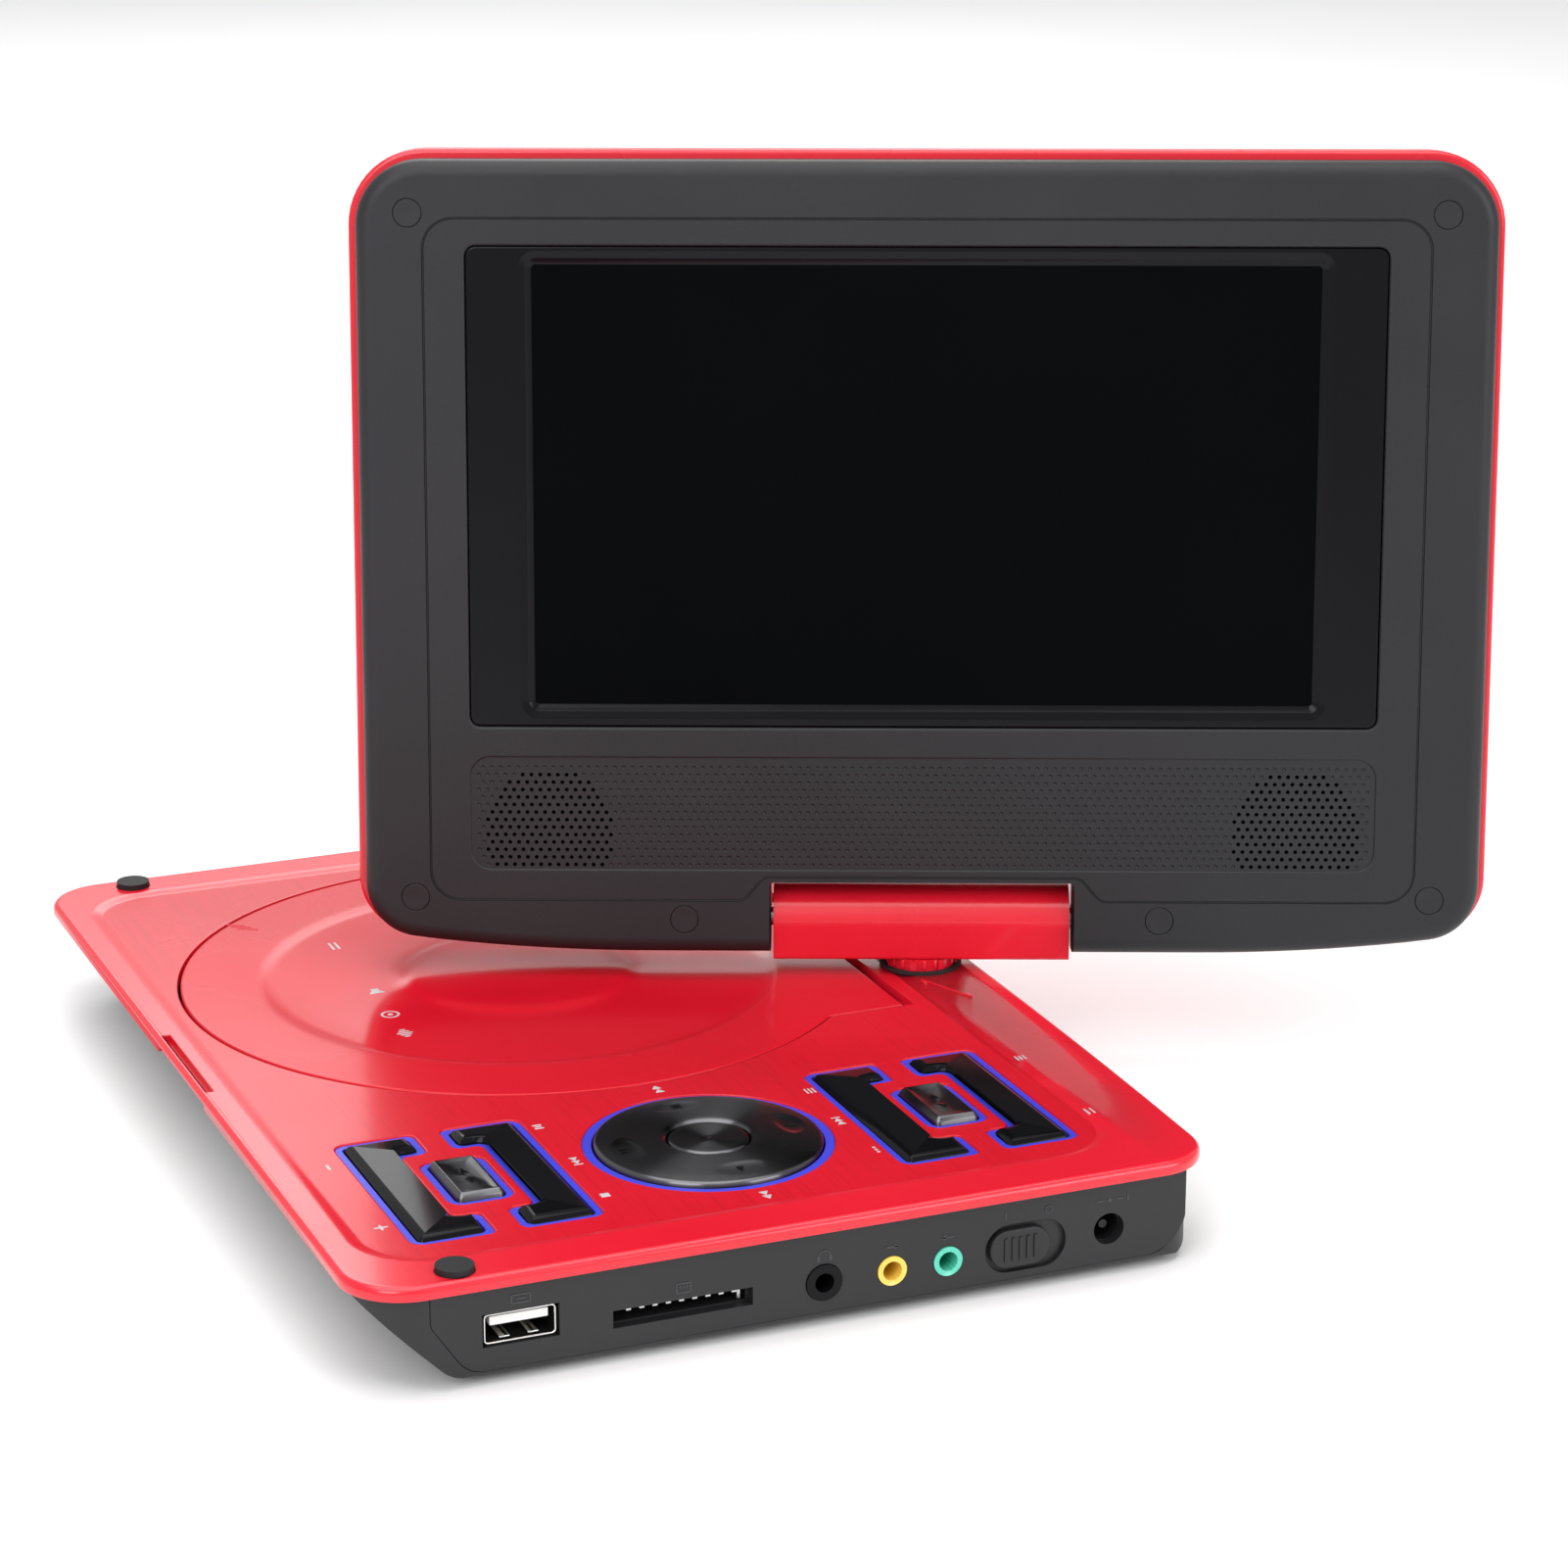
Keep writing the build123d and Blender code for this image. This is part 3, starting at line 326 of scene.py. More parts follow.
def red_door(name):
    """Door skin: polished inside the stepped ring, brushed outside it like the panel."""
    m, t, b = nt(name)
    v = coords(t)
    t.links.new(ramp(t, noise(t, v, 18.0, 4.0), [(0.3, (0.52, 0.005, 0.015)), (0.72, (0.57, 0.007, 0.020))]), b.inputs["Base Color"])
    c = coords(t, loc=(-DISC[0] * MM, -DISC[1] * MM, 0))
    sep = node(t, "ShaderNodeSeparateXYZ")
    t.links.new(c, sep.inputs[0])
    comb = node(t, "ShaderNodeCombineXYZ")
    t.links.new(sep.outputs["X"], comb.inputs["X"])
    t.links.new(sep.outputs["Y"], comb.inputs["Y"])
    ln = node(t, "ShaderNodeVectorMath", operation="LENGTH")
    t.links.new(comb.outputs["Vector"], ln.inputs[0])
    outer = rng(t, ln.outputs["Value"], 0.0, 1.0, 0.0512, 0.0526)
    smudge = noise(t, v, 30.0, 2.0, 0.5)
    ro = rng(t, smudge, 0.24, 0.32)
    ri = rng(t, smudge, 0.12, 0.17)
    mx = node(t, "ShaderNodeMix", data_type="FLOAT")
    t.links.new(outer, mx.inputs[0])
    t.links.new(ri, mx.inputs[2])
    t.links.new(ro, mx.inputs[3])
    t.links.new(mx.outputs[0], b.inputs["Roughness"])
    b.inputs["Specular IOR Level"].default_value = 0.22
    b.inputs["Coat Weight"].default_value = 0.08
    b.inputs["Coat Roughness"].default_value = 0.08
    g = noise(t, coords(t, scale=(160.0, 5200.0, 160.0)), 1.0, 4.0, 0.7)
    mul = node(t, "ShaderNodeMath", operation="MULTIPLY")
    t.links.new(g, mul.inputs[0])
    t.links.new(outer, mul.inputs[1])
    bump(t, b, mul.outputs[0], 0.12, 0.00005)
    return m


MAT["key_spun"] = dial_black("key_spun", DIAL)
MAT["red_door"] = red_door("red_door")

for name, o in NODES.items():
    want = frame["record"]["subparts"]
    s = next((p["material_slot"] for p in want if p["node"] == name), "black_case")
    m = MAT[s]
    if not o.material_slots:
        o.data.materials.append(m)
    for ms in o.material_slots:
        ms.material = m

sc = bpy.context.scene


def put(obj):
    sc.collection.objects.link(obj)
    return obj


# ---------------------------------------------------------------- mesh helpers (mm in, metres out)
def lid(u, v, w):
    return O + u * U + v * V + w * W


def base(x, y, z):
    return np.array([x, y, z])


class Piece:
    """Collects rings and faces in a local frame and makes one object."""

    def __init__(self, frame_of=base):
        self.v, self.f, self.flat, self.of = [], [], [], frame_of

    def ring(self, pts, h):
        i = len(self.v)
        self.v += [(p[0], p[1], h(p[0], p[1]) if callable(h) else h) for p in pts]
        return list(range(i, len(self.v)))

    def bridge(self, a, b, flat=False):
        n = len(a)
        for i in range(n):
            j = (i + 1) % n
            self.face((a[i], a[j], b[j], b[i]), flat)

    def face(self, idx, flat=False):
        self.f.append(tuple(idx))
        self.flat.append(flat)

    def loft(self, rings, flat=False):
        for a, b in zip(rings, rings[1:]):
            self.bridge(a, b, flat)
        return rings

    def cap(self, outer, holes=(), flat=False):
        loops = [outer, *holes]
        order = [i for lp in loops for i in lp]
        tris = tessellate_polygon([[Vector((self.v[i][0], self.v[i][1], 0)) for i in lp] for lp in loops])
        for t in tris:
            self.face([order[k] for k in t], flat)

    def make(self, name, body, mat, slot=None, replaces=(), angle=32, merge=0.0005):
        me = bpy.data.meshes.new(name)
        me.from_pydata([tuple(self.of(*p) * MM) for p in self.v], [], self.f)
        bm = bmesh.new()
        bm.from_mesh(me)
        for f, flat in zip(bm.faces, self.flat):
            f.smooth = not flat
        bmesh.ops.remove_doubles(bm, verts=bm.verts, dist=merge * MM)
        bmesh.ops.dissolve_degenerate(bm, edges=bm.edges, dist=1e-8)
        bmesh.ops.recalc_face_normals(bm, faces=bm.faces)
        for e in bm.edges:
            if len(e.link_faces) != 2 or e.calc_face_angle(0.0) > math.radians(angle):
                e.smooth = False
        bm.to_mesh(me)
        bm.free()
        o = put(bpy.data.objects.new(name, me))
        me.materials.append(MAT[mat])
        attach(o, body)
        if replaces:
            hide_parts(*replaces)
        return o


def offset_poly(P, D):
    """CCW polygon with edge i (from point i to i+1) moved inwards by D[i]."""
    n, out = len(P), []
    for i in range(n):
        a, p, b = np.array(P[i - 1]), np.array(P[i]), np.array(P[(i + 1) % n])
        e0, e1 = (p - a) / np.linalg.norm(p - a), (b - p) / np.linalg.norm(b - p)
        n0, n1 = np.array([-e0[1], e0[0]]), np.array([-e1[1], e1[0]])
        d0, d1 = D[i - 1], D[i]
        det = n0[0] * n1[1] - n0[1] * n1[0]
        if abs(det) < 0.05:
            out.append(p + n0 * (d0 + d1) / 2)
        else:
            out.append(p + np.array([(d0 * n1[1] - d1 * n0[1]) / det, (n0[0] * d1 - n1[0] * d0) / det]))
    return out


def outline(P, R, inset=0.0, seg=8):
    """Rounded closed outline, moved inwards by inset (a number or one for each edge); always the same point count."""
    n = len(P)
    D = [inset] * n if np.isscalar(inset) else inset
    Q = offset_poly(P, D)
    out = []
    for i in range(n):
        a, p, b = np.array(P[i - 1]), np.array(P[i]), np.array(P[(i + 1) % n])
        e0, e1 = (p - a) / np.linalg.norm(p - a), (b - p) / np.linalg.norm(b - p)
        cross = e0[0] * e1[1] - e0[1] * e1[0]
        if R[i] <= 0:
            out.append(tuple(Q[i]))
            continue
        d = (D[i - 1] + D[i]) / 2
        r = max(R[i] - d, 0.02) if cross > 0 else max(R[i] + d, 0.02)
        theta = math.acos(max(-1.0, min(1.0, float(e0 @ e1))))
        t = r * math.tan(theta / 2)
        s = Q[i] - e0 * t
        nrm = np.array([-e0[1], e0[0]]) * (1 if cross > 0 else -1)
        c = s + nrm * r
        for k in range(seg + 1):
            ang = theta * k / seg * (1 if cross > 0 else -1)
            v = s - c
            out.append((c[0] + v[0] * math.cos(ang) - v[1] * math.sin(ang), c[1] + v[0] * math.sin(ang) + v[1] * math.cos(ang)))
    return out


def rect(x0, x1, y0, y1):
    return [(x0, y0), (x1, y0), (x1, y1), (x0, y1)]


def rring(x0, x1, y0, y1, r, inset=0.0, seg=8):
    return outline(rect(x0, x1, y0, y1), [r] * 4, inset, seg)


def circle(cx, cy, r, n=48):
    return [(cx + r * math.cos(2 * math.pi * k / n), cy + r * math.sin(2 * math.pi * k / n)) for k in range(n)]


def fillet_steps(r, n=5):
    """(inset, drop) pairs of a quarter round, from the side up to the top."""
    return [(r * (1 - math.cos(math.pi / 2 * k / n)), r * (1 - math.sin(math.pi / 2 * k / n))) for k in range(n + 1)]


def slab(piece, P, R, top, low, edge, seg=6, n=3, depth=None):
    """Small raised or printed shape with rounded top edges; closed."""
    rings = [piece.ring(outline(P, R, 0, seg), low)]
    for i, d in fillet_steps(edge, n):
        rings.append(piece.ring(outline(P, R, i, seg), top - d))
    piece.loft(rings)
    piece.cap(rings[-1])
    piece.cap(rings[0])


def xform(P, cx, cy, ang, s=1.0):
    c, n = math.cos(ang), math.sin(ang)
    return [(cx + s * (x * c - y * n), cy + s * (x * n + y * c)) for x, y in P]


# ---------------------------------------------------------------- screen: bezel
BEZ = 8.5


def lid_points(half, top, low, notch=None):
    """Screen outline: straight bottom that lifts towards the ends, with the hinge notch if asked."""
    def b(u):
        return low + max(0.0, abs(u) - 55.0) ** 2 / 788.0
    us = [55 + (half - 14 - 55) * k / 8 for k in range(9)]
    P, R, E = [(-half, b(half))], [12.0], []
    for u in reversed(us):
        P.append((-u, b(u))); R.append(0)
    if notch:
        nh, ntop = notch
        P += [(-nh, low), (-nh, ntop), (nh, ntop), (nh, low)]
        R += [0, 0.8, 0.8, 0]
    for u in us:
        P.append((u, b(u))); R.append(0)
    P += [(half, b(half)), (half, top), (-half, top)]
    R += [12.0, 13.1, 13.1]
    return P, R


NOTCH = (30.2, 8.3)
BP, BR = lid_points(111.4, 151.75, -6.0, NOTCH)
BR[0] = BR[-3] = 11.0
NOTCH_EDGES = [i for i in range(len(BP)) if abs(BP[i][0]) <= 30.3 and abs(BP[(i + 1) % len(BP)][0]) <= 30.3]


def bez_ring(inset, seg=14):
    return outline(BP, BR, [min(inset, 0.35) if i in NOTCH_EDGES else inset for i in range(len(BP))], seg)


bz = Piece(lid)
rings = [bz.ring(bez_ring(2.0), 6.0), bz.ring(bez_ring(2.0), 1.52), bz.ring(bez_ring(0.0), 1.52)]
for i, d in fillet_steps(3.0, 7):
    rings.append(bz.ring(bez_ring(i), BEZ - d))
rings.append(bz.ring(bez_ring(3.2), BEZ))
bz.loft(rings)

GP = [(-98.1, 4.9), (-35.6, 4.9), (-31.6, 9.7), (31.6, 9.7), (35.6, 4.9), (98.1, 4.9), (98.1, 140.5), (-98.1, 140.5)]
GR = [6.0, 3.0, 2.4, 2.4, 3.0, 6.0, 6.0, 6.0]


def groove(inset):
    return outline(GP, GR, inset, 10)


g = [bz.ring(groove(-0.42), BEZ), bz.ring(groove(-0.26), BEZ), bz.ring(groove(-0.10), BEZ - 0.30), bz.ring(groove(0.10), BEZ - 0.34),
     bz.ring(groove(0.26), BEZ), bz.ring(groove(0.42), BEZ)]
bz.loft(g)
screws_uv = [(-101.0, 141.5), (101.0, 141.5), (-101.3, 5.4), (101.3, 5.4), (-47.5, 1.0), (47.5, 1.0)]
screw_top, screw_low = [], []
for u, v in screws_uv:
    c = [bz.ring(circle(u, v, r, 36), w) for r, w in ((3.05, BEZ), (2.92, BEZ), (2.84, BEZ - 0.08), (2.84, 6.0))]
    bz.loft(c)
    screw_top.append(c[0]); screw_low.append(c[-1])
win = [bz.ring(rring(-90, 90, 40.07, 135.2, 2.2, i, 8), w) for i, w in ((-0.75, BEZ), (-0.55, BEZ), (-0.36, BEZ - 0.04), (-0.16, BEZ - 0.16), (-0.04, BEZ - 0.36), (0, BEZ - 0.6), (0, 6.0))]
bz.loft(win)
gri = [bz.ring(rring(-90, 90, 11.2, 34.0, 4.0, i, 10), w) for i, w in ((-0.45, BEZ), (-0.3, BEZ), (-0.14, BEZ - 0.03), (0.0, BEZ - 0.12), (0.10, BEZ - 0.34), (0.10, 6.0))]
bz.loft(gri)
bz.cap(rings[-1], [g[0], *screw_top])
bz.cap(g[-1], [win[0], gri[0]])
bz.cap(rings[0], [win[-1], gri[-1], *screw_low])
bz.make("bezel", "screen", "bezel_grey", "bezel_grey", ["screen_bezel"], angle=40)

# grille: staggered dimples everywhere, real holes in a round field at each end
PITCH, ROW = 1.75, 1.523
GW = BEZ - 0.26
gp = Piece(lid)
K = 16
RA, DIM = 0.40, [(0.40, 0.0), (0.37, 0.05), (0.27, 0.17), (0.12, 0.23)]
outer16 = [(-0.5, -0.5), (-0.25, -0.5), (0, -0.5), (0.25, -0.5), (0.5, -0.5), (0.5, -0.25), (0.5, 0), (0.5, 0.25), (0.5, 0.5), (0.25, 0.5), (0, 0.5), (-0.25, 0.5), (-0.5, 0.5), (-0.5, 0.25), (-0.5, 0), (-0.5, -0.25)]
ang16 = [math.atan2(b * ROW, a * PITCH) for a, b in outer16]
for row in range(14):
    v = 12.12 + row * ROW
    even = row % 2 == 0
    us = [-88.375 + PITCH * k for k in range(102)] if even else [-87.5 + PITCH * k for k in range(101)]
    if not even:
        for s in (-1, 1):
            i = gp.ring([(s * 89.25, v - ROW / 2), (s * 88.375, v - ROW / 2), (s * 88.375, v + ROW / 2), (s * 89.25, v + ROW / 2)], GW)
            gp.face(i)
    for u in us:
        ou = gp.ring([(u + a * PITCH, v + b * ROW) for a, b in outer16], GW)
        cu, cv = 90 - 4.0, 4.0
        du, dv = max(0.0, abs(u) - 86.0), max(0.0, abs(v - 22.6) - 7.4)
        if math.hypot(du, dv) > 3.15:
            gp.face(ou)
            continue
        hole = math.hypot(abs(u) - 74.3, v - 18.9) < 12.95
        prof = [(0.43, 0.0), (0.40, 0.05), (0.385, 0.5), (0.385, 1.6)] if hole else DIM
        prev = ou
        for r, d in prof:
            cur = gp.ring([(u + r * math.cos(t), v + r * math.sin(t)) for t in ang16], GW - d)
            gp.bridge(prev, cur)
            prev = cur
        if not hole:
            gp.face(prev)
# plain border of the plate, running under the bezel
bo = gp.ring(rect(-92, 92, 9.6, 35.6), GW)
bi = gp.ring(rect(-89.25, 89.25, 12.12 - ROW / 2, 12.12 + 13.5 * ROW), GW)
gp.bridge(bo, bi)
grille = gp.make("grille_plate", "screen", "bezel_grey", "bezel_grey", angle=50)
cl = Piece(lid)
for s in (-1, 1):
    slab(cl, circle(s * 74.3, 20.5, 14.4, 48), [0] * 48, GW - 1.75, GW - 2.1, 0.15)
cl.make("speaker_cloth", "screen", "hole_dark")

# screw covers: a shallow dished disc in each recess
scv = Piece(lid)
for u, v in screws_uv:
    c = [scv.ring(circle(u, v, r, 36), w) for r, w in ((2.74, 7.5), (2.74, BEZ - 0.10), (2.66, BEZ - 0.03), (2.5, BEZ - 0.02), (2.0, BEZ - 0.05), (0.6, BEZ - 0.08))]
    scv.loft(c); scv.cap(c[-1]); scv.cap(c[0])
scv.make("screw_caps", "screen", "bezel_grey", "bezel_grey", ["screw_covers"])

# window frame: gloss black, with a stepped inner edge
wf = Piece(lid)
FR = (-90, 90, 40.07, 135.2)
LC = (-77.04, 77.04, 44.55, 131.5)
r_ = [wf.ring(rring(*FR, 2.2, 0.12, 8), 5.2)]
r_ += [wf.ring(rring(*FR, 2.2, 0.12 + i, 8), 7.98 - d) for i, d in fillet_steps(0.35, 3)]
r_.append(wf.ring(rring(*FR, 2.2, 0.7, 8), 7.98))
wf.loft(r_)
a_ = [wf.ring(rring(*LC, 0.8, i, 8), w) for i, w in ((-2.9, 7.98), (-2.7, 7.98), (-2.5, 7.95), (-1.5, 7.72), (-1.35, 7.70), (-1.2, 7.62), (-0.25, 7.12), (0, 7.06), (0, 6.95))]
wf.loft(a_)
wf.cap(r_[-1], [a_[0]])
b_ = [wf.ring(rring(*FR, 2.2, 3.0, 8), 5.2), wf.ring(rring(*FR, 2.2, 3.0, 8), 6.95)]
wf.bridge(r_[0], b_[0]); wf.bridge(b_[0], b_[1])
wf.cap(b_[1], [a_[-1]])
wf.make("display_frame", "screen", "window_black", "gloss_black", ["window_frame"], angle=30)

# ---------------------------------------------------------------- base: keys and dial
KEYX, GY = float(DIAL[0]), [float((lo(n) + hi(n))[1] / 2) for n in ("menu_key", "source_key")]
KT = float(hi("menu_key")[2])


def bracket_pts(cy, flip):
    pts = [(-24.1, -8.9), (24.1, -8.9), (24.1, 6.4), (14.4, 6.4), (14.4, 1.1), (-14.4, 1.1), (-14.4, 6.4), (-24.1, 6.4)]
    rad = [2.6, 2.6, 1.6, 1.6, 1.6, 1.6, 1.6, 1.6]
    pts = [(KEYX + x, cy + (-y if flip else y)) for x, y in pts]
    if flip:
        pts, rad = pts[::-1], rad[::-1]
    return pts, rad


for name, cy, flip in (("volume_key", GY[0] - 8.85, False), ("channel_key", GY[0] + 8.85, True), ("search_key", GY[1] - 8.85, False), ("mode_key", GY[1] + 8.85, True)):
    P, R = bracket_pts(cy, flip)

    def top_of(x, y, cy=cy, flip=flip):
        yy = (cy - y) if flip else (y - cy)
        return KT - 0.085 * max(0.0, 0.2 - yy, abs(x - KEYX) - 15.4)

    k = Piece()
    prof = [(0.75, 15.95), (0.75, 16.5), (1.65, 16.5)]
    rs = [k.ring(outline(P, R, i, 6), z) for i, z in prof]
    for i, d in ((1.65, 1.15), (1.74, 1.0), (2.25, 0.30), (2.42, 0.20), (3.05, 0.03), (3.2, 0.0)):
        rs.append(k.ring(outline(P, R, i, 6), lambda x, y, d=d: top_of(x, y) - d))
    k.loft(rs)
    # inner points on the creases, so the top is two sloping planes and two arm planes
    yc = 0.2 * (-1 if flip else 1) + cy
    m = [k.ring([(KEYX + s * 15.4, yc)], KT)[0] for s in (-1, 1)]
    loop = rs[-1]
    from mathutils.geometry import delaunay_2d_cdt
    pts2 = [Vector(k.v[i][:2]) for i in loop] + [Vector(k.v[i][:2]) for i in m]
    n0 = len(loop)

    def near(x, y):
        return min(range(n0), key=lambda q: (pts2[q][0] - x) ** 2 + (pts2[q][1] - y) ** 2)

    out_y = cy - (-1 if flip else 1) * (8.9 - 3.2)
    edges = [(q, (q + 1) % n0) for q in range(n0)]
    for s, mi in ((-1, n0), (1, n0 + 1)):
        edges.append((mi, near(KEYX + s * 20.9, out_y)))
        edges.append((mi, near(KEYX + s * 14.4, yc + (-0.9 if flip else 0.9))))
    edges.append((n0, n0 + 1))
    vv, ee, ff, ov, *_ = delaunay_2d_cdt(pts2, edges, [list(range(n0))], 1, 1e-5)
    idx = []
    for q, p in enumerate(vv):
        src = ov[q][0] if ov[q] else None
        idx.append(loop[src] if src is not None and src < n0 else (m[src - n0] if src is not None else k.ring([(p[0], p[1])], top_of)[0]))
    for f_ in ff:
        k.face([idx[q] for q in f_], flat=True)
    k.cap(rs[0])
    k.make(name + "_cap", name, "gloss_black", "gloss_black", [name], angle=24)

for name, cy in (("menu_key", GY[0]), ("source_key", GY[1])):
    k = Piece()
    P = rect(KEYX - 10.3, KEYX + 10.3, cy - 6.1, cy + 6.1)
    rs = [k.ring(outline(P, [2.8] * 4, i, 8), z) for i, z in ((0.75, 15.95), (0.75, 16.5), (1.65, 16.5), (1.65, KT - 1.0), (1.75, KT - 0.85), (2.35, KT - 0.12), (2.55, KT - 0.02), (2.8, KT - 0.05), (3.3, KT - 0.22), (4.0, KT - 0.36), (5.0, KT - 0.44))]
    k.loft(rs); k.cap(rs[-1]); k.cap(rs[0])
    k.make(name + "_cap", name, "key_spun", "gloss_black", [name], angle=50)
    e = Piece()
    for s in (-1, 1):
        t = xform([(-1.5, -0.9), (1.5, 0.0), (-1.5, 0.9)], KEYX + s * 2.6, cy, math.pi if s < 0 else 0)
        slab(e, t, [0.25] * 3, KT - 0.30, KT - 0.6, 0.1, 4)
    e.make(name + "_mark", name, "gloss_black", "gloss_black")

# dial: turned disc with four oval hollows that carry a mark each
DX, DY = float(DIAL[0]), float(DIAL[1])
DR, PR = 21.0, 7.85
d = Piece()
prof = [(PR, 16.3), (DR + 0.9, 16.3), (DR + 0.9, 16.6), (DR, 16.6), (DR, 20.3)]
prof += [(DR - i, 21.15 - q) for i, q in fillet_steps(0.85, 6)]
prof += [(DR - 1.6, 21.28), (18.0, 21.45), (15.0, 21.6), (12.0, 21.66), (9.6, 21.62), (8.7, 21.52), (8.2, 21.32), (PR, 21.0)]
NA = 144


def dial_z(r, a, z):
    """Four shallow oval hollows at the quarter points."""
    if z < 20.9 or r < 8.9:
        return z
    for q in range(4):
        t = a - q * math.pi / 2
        t = (t + math.pi) % (2 * math.pi) - math.pi
        e_ = ((r - 16.0) / 2.5) ** 2 + (t * r / 4.6) ** 2
        if e_ < 1:
            z -= 0.42 * (1 - e_) ** 0.6
    return z


fine = []
for (r0, z0), (r1, z1) in zip(prof, prof[1:]):
    steps = max(1, int(abs(r1 - r0) / 0.4)) if min(z0, z1) > 20.9 else 1
    fine += [(r0 + (r1 - r0) * s / steps, z0 + (z1 - z0) * s / steps) for s in range(steps)]
fine.append(prof[-1])
rs = []
for r, z in fine:
    i = len(d.v)
    for q in range(NA):
        a = 2 * math.pi * q / NA
        d.v.append((DX + r * math.cos(a), DY + r * math.sin(a), dial_z(r, a, z)))
    rs.append(list(range(i, len(d.v))))
d.loft(rs); d.bridge(rs[-1], rs[0])
d.make("dial_disc", "dial", "dial_black", "gloss_black", ["nav_dial"], angle=38)
dm = Piece()
marks = {0: [[(-1.0, -0.8), (1.0, 0), (-1.0, 0.8)]], 1: [[(-1.2, -0.25), (1.2, -0.25), (1.2, 0.25), (-1.2, 0.25)], [(-0.25, 0.45), (0.25, 0.45), (0.25, 1.2), (-0.25, 1.2)]],
         2: [[(-0.9, -0.9), (0.9, -0.9), (0.9, 0.9), (-0.9, 0.9)]], 3: [[(-1.3, -0.8), (1.3, -0.8), (1.3, -0.35), (-1.3, -0.35)], [(-1.3, 0.35), (1.3, 0.35), (1.3, 0.8), (-1.3, 0.8)]]}
for q, shapes in marks.items():
    a = q * math.pi / 2
    for s in shapes:
        t = xform(s, DX + 16.0 * math.cos(a), DY + 16.0 * math.sin(a), a)
        slab(dm, t, [0.12] * len(t), 21.36, 21.0, 0.08, 3)
dm.make("dial_marks", "dial", "gloss_black", "gloss_black", angle=50)
pb = Piece()
rs = [pb.ring(circle(DX, DY, r, 72), z) for r, z in ((3.4, 15.45), (3.4, 17.4), (7.6, 17.4), (7.6, 20.6), (7.5, 20.95), (7.25, 21.2), (6.8, 21.32), (6.2, 21.3), (4.5, 21.12), (2.5, 21.02), (1.2, 21.0))]
pb.loft(rs); pb.cap(rs[-1]); pb.cap(rs[0])
pb.make("play_cap", "play_button", "key_spun", "gloss_black", ["play_button"], angle=50)
pm = Piece()
for s, w_ in ((-0.55, 1.5), (0.55, 1.5)):
    slab(pm, rect(DX + s * 1.6 - 0.25, DX + s * 1.6 + 0.25, DY - w_, DY + w_), [0.2] * 4, 21.16, 20.9, 0.08, 4)
pm.make("play_mark", "play_button", "gloss_black", "gloss_black", angle=50)

# ---------------------------------------------------------------- disc door
CX, CY = DISC
DOOR_R_, BACK, HALF = 67.7, float(59.1), 48.0
NB = 360


def edge_r(a, grow=0.0):
    """Distance from the spindle to the door's edge in direction a."""
    c, s = math.cos(a), math.sin(a)
    back = (BACK - CY) + grow
    half, rad = HALF + grow, DOOR_R_ + grow
    r = rad
    if s > 0:
        r = min(rad, back / s)
        rb = min(back / s, half / abs(c) if abs(c) > 1e-6 else 1e9)
        if rb * s > 20 and rb > r:
            r = rb
    return r


tab = [(math.atan2(math.sqrt(DOOR_R_ ** 2 - HALF ** 2), HALF)), math.atan2(BACK - CY, HALF)]
angs = sorted(set([round(2 * math.pi * q / NB, 9) for q in range(NB)] + [round(t, 9) for t in (tab[0], tab[1], math.pi - tab[1], math.pi - tab[0])]))
PZ = PANEL
dprof = [(1.5, PZ + 0.46), (8, PZ + 0.45), (14, PZ + 0.42), (18, PZ + 0.37), (20.6, PZ + 0.31), (21.8, PZ + 0.22), (22.7, PZ + 0.06), (23.4, PZ - 0.12), (24.1, PZ - 0.25), (24.9, PZ - 0.33),
         (27, PZ - 0.36), (34, PZ - 0.36), (43, PZ - 0.35), (48.5, PZ - 0.33), (49.6, PZ - 0.31), (50.4, PZ - 0.26), (51.2, PZ - 0.17), (52.0, PZ - 0.06), (52.8, PZ - 0.01), (53.6, PZ), (60.0, PZ), (64.0, PZ)]
dd = Piece()
rs = []
for r, z in dprof:
    i = len(dd.v)
    lim = [min(1.0, edge_r(a) / 65.3) for a in angs]
    dd.v += [(CX + r * l_ * math.cos(a), CY + r * l_ * math.sin(a), z) for a, l_ in zip(angs, lim)]
    rs.append(list(range(i, len(dd.v))))
for ins, z in ((0.9, PZ), (0.45, PZ), (0.22, PZ - 0.05), (0.08, PZ - 0.16), (0.02, PZ - 0.34), (0.0, 18.4), (6.0, 18.4)):
    i = len(dd.v)
    for a in angs:
        rr_ = edge_r(a, 0.0) - ins
        dd.v.append((CX + rr_ * math.cos(a), CY + rr_ * math.sin(a), z))
    rs.append(list(range(i, len(dd.v))))
dd.loft(rs)
dd.cap(rs[0]); dd.cap(rs[-1])
for a, b in ((-74.5, -69.5), (13.5, 18.5)):
    for x0, x1 in ((a, b),):
        n = 24
        ra = []
        for x in (x0, x1):
            i = len(dd.v)
            dd.v += [(x, 59.6 + 1.5 * math.cos(2 * math.pi * q / n), 17.0 + 1.5 * math.sin(2 * math.pi * q / n)) for q in range(n)]
            ra.append(list(range(i, len(dd.v))))
        dd.bridge(ra[0], ra[1]); dd.face(ra[0]); dd.face(ra[1])
door = dd.make("door_skin", "door", "red_door", "red_shell", ["disc_door"], angle=38)

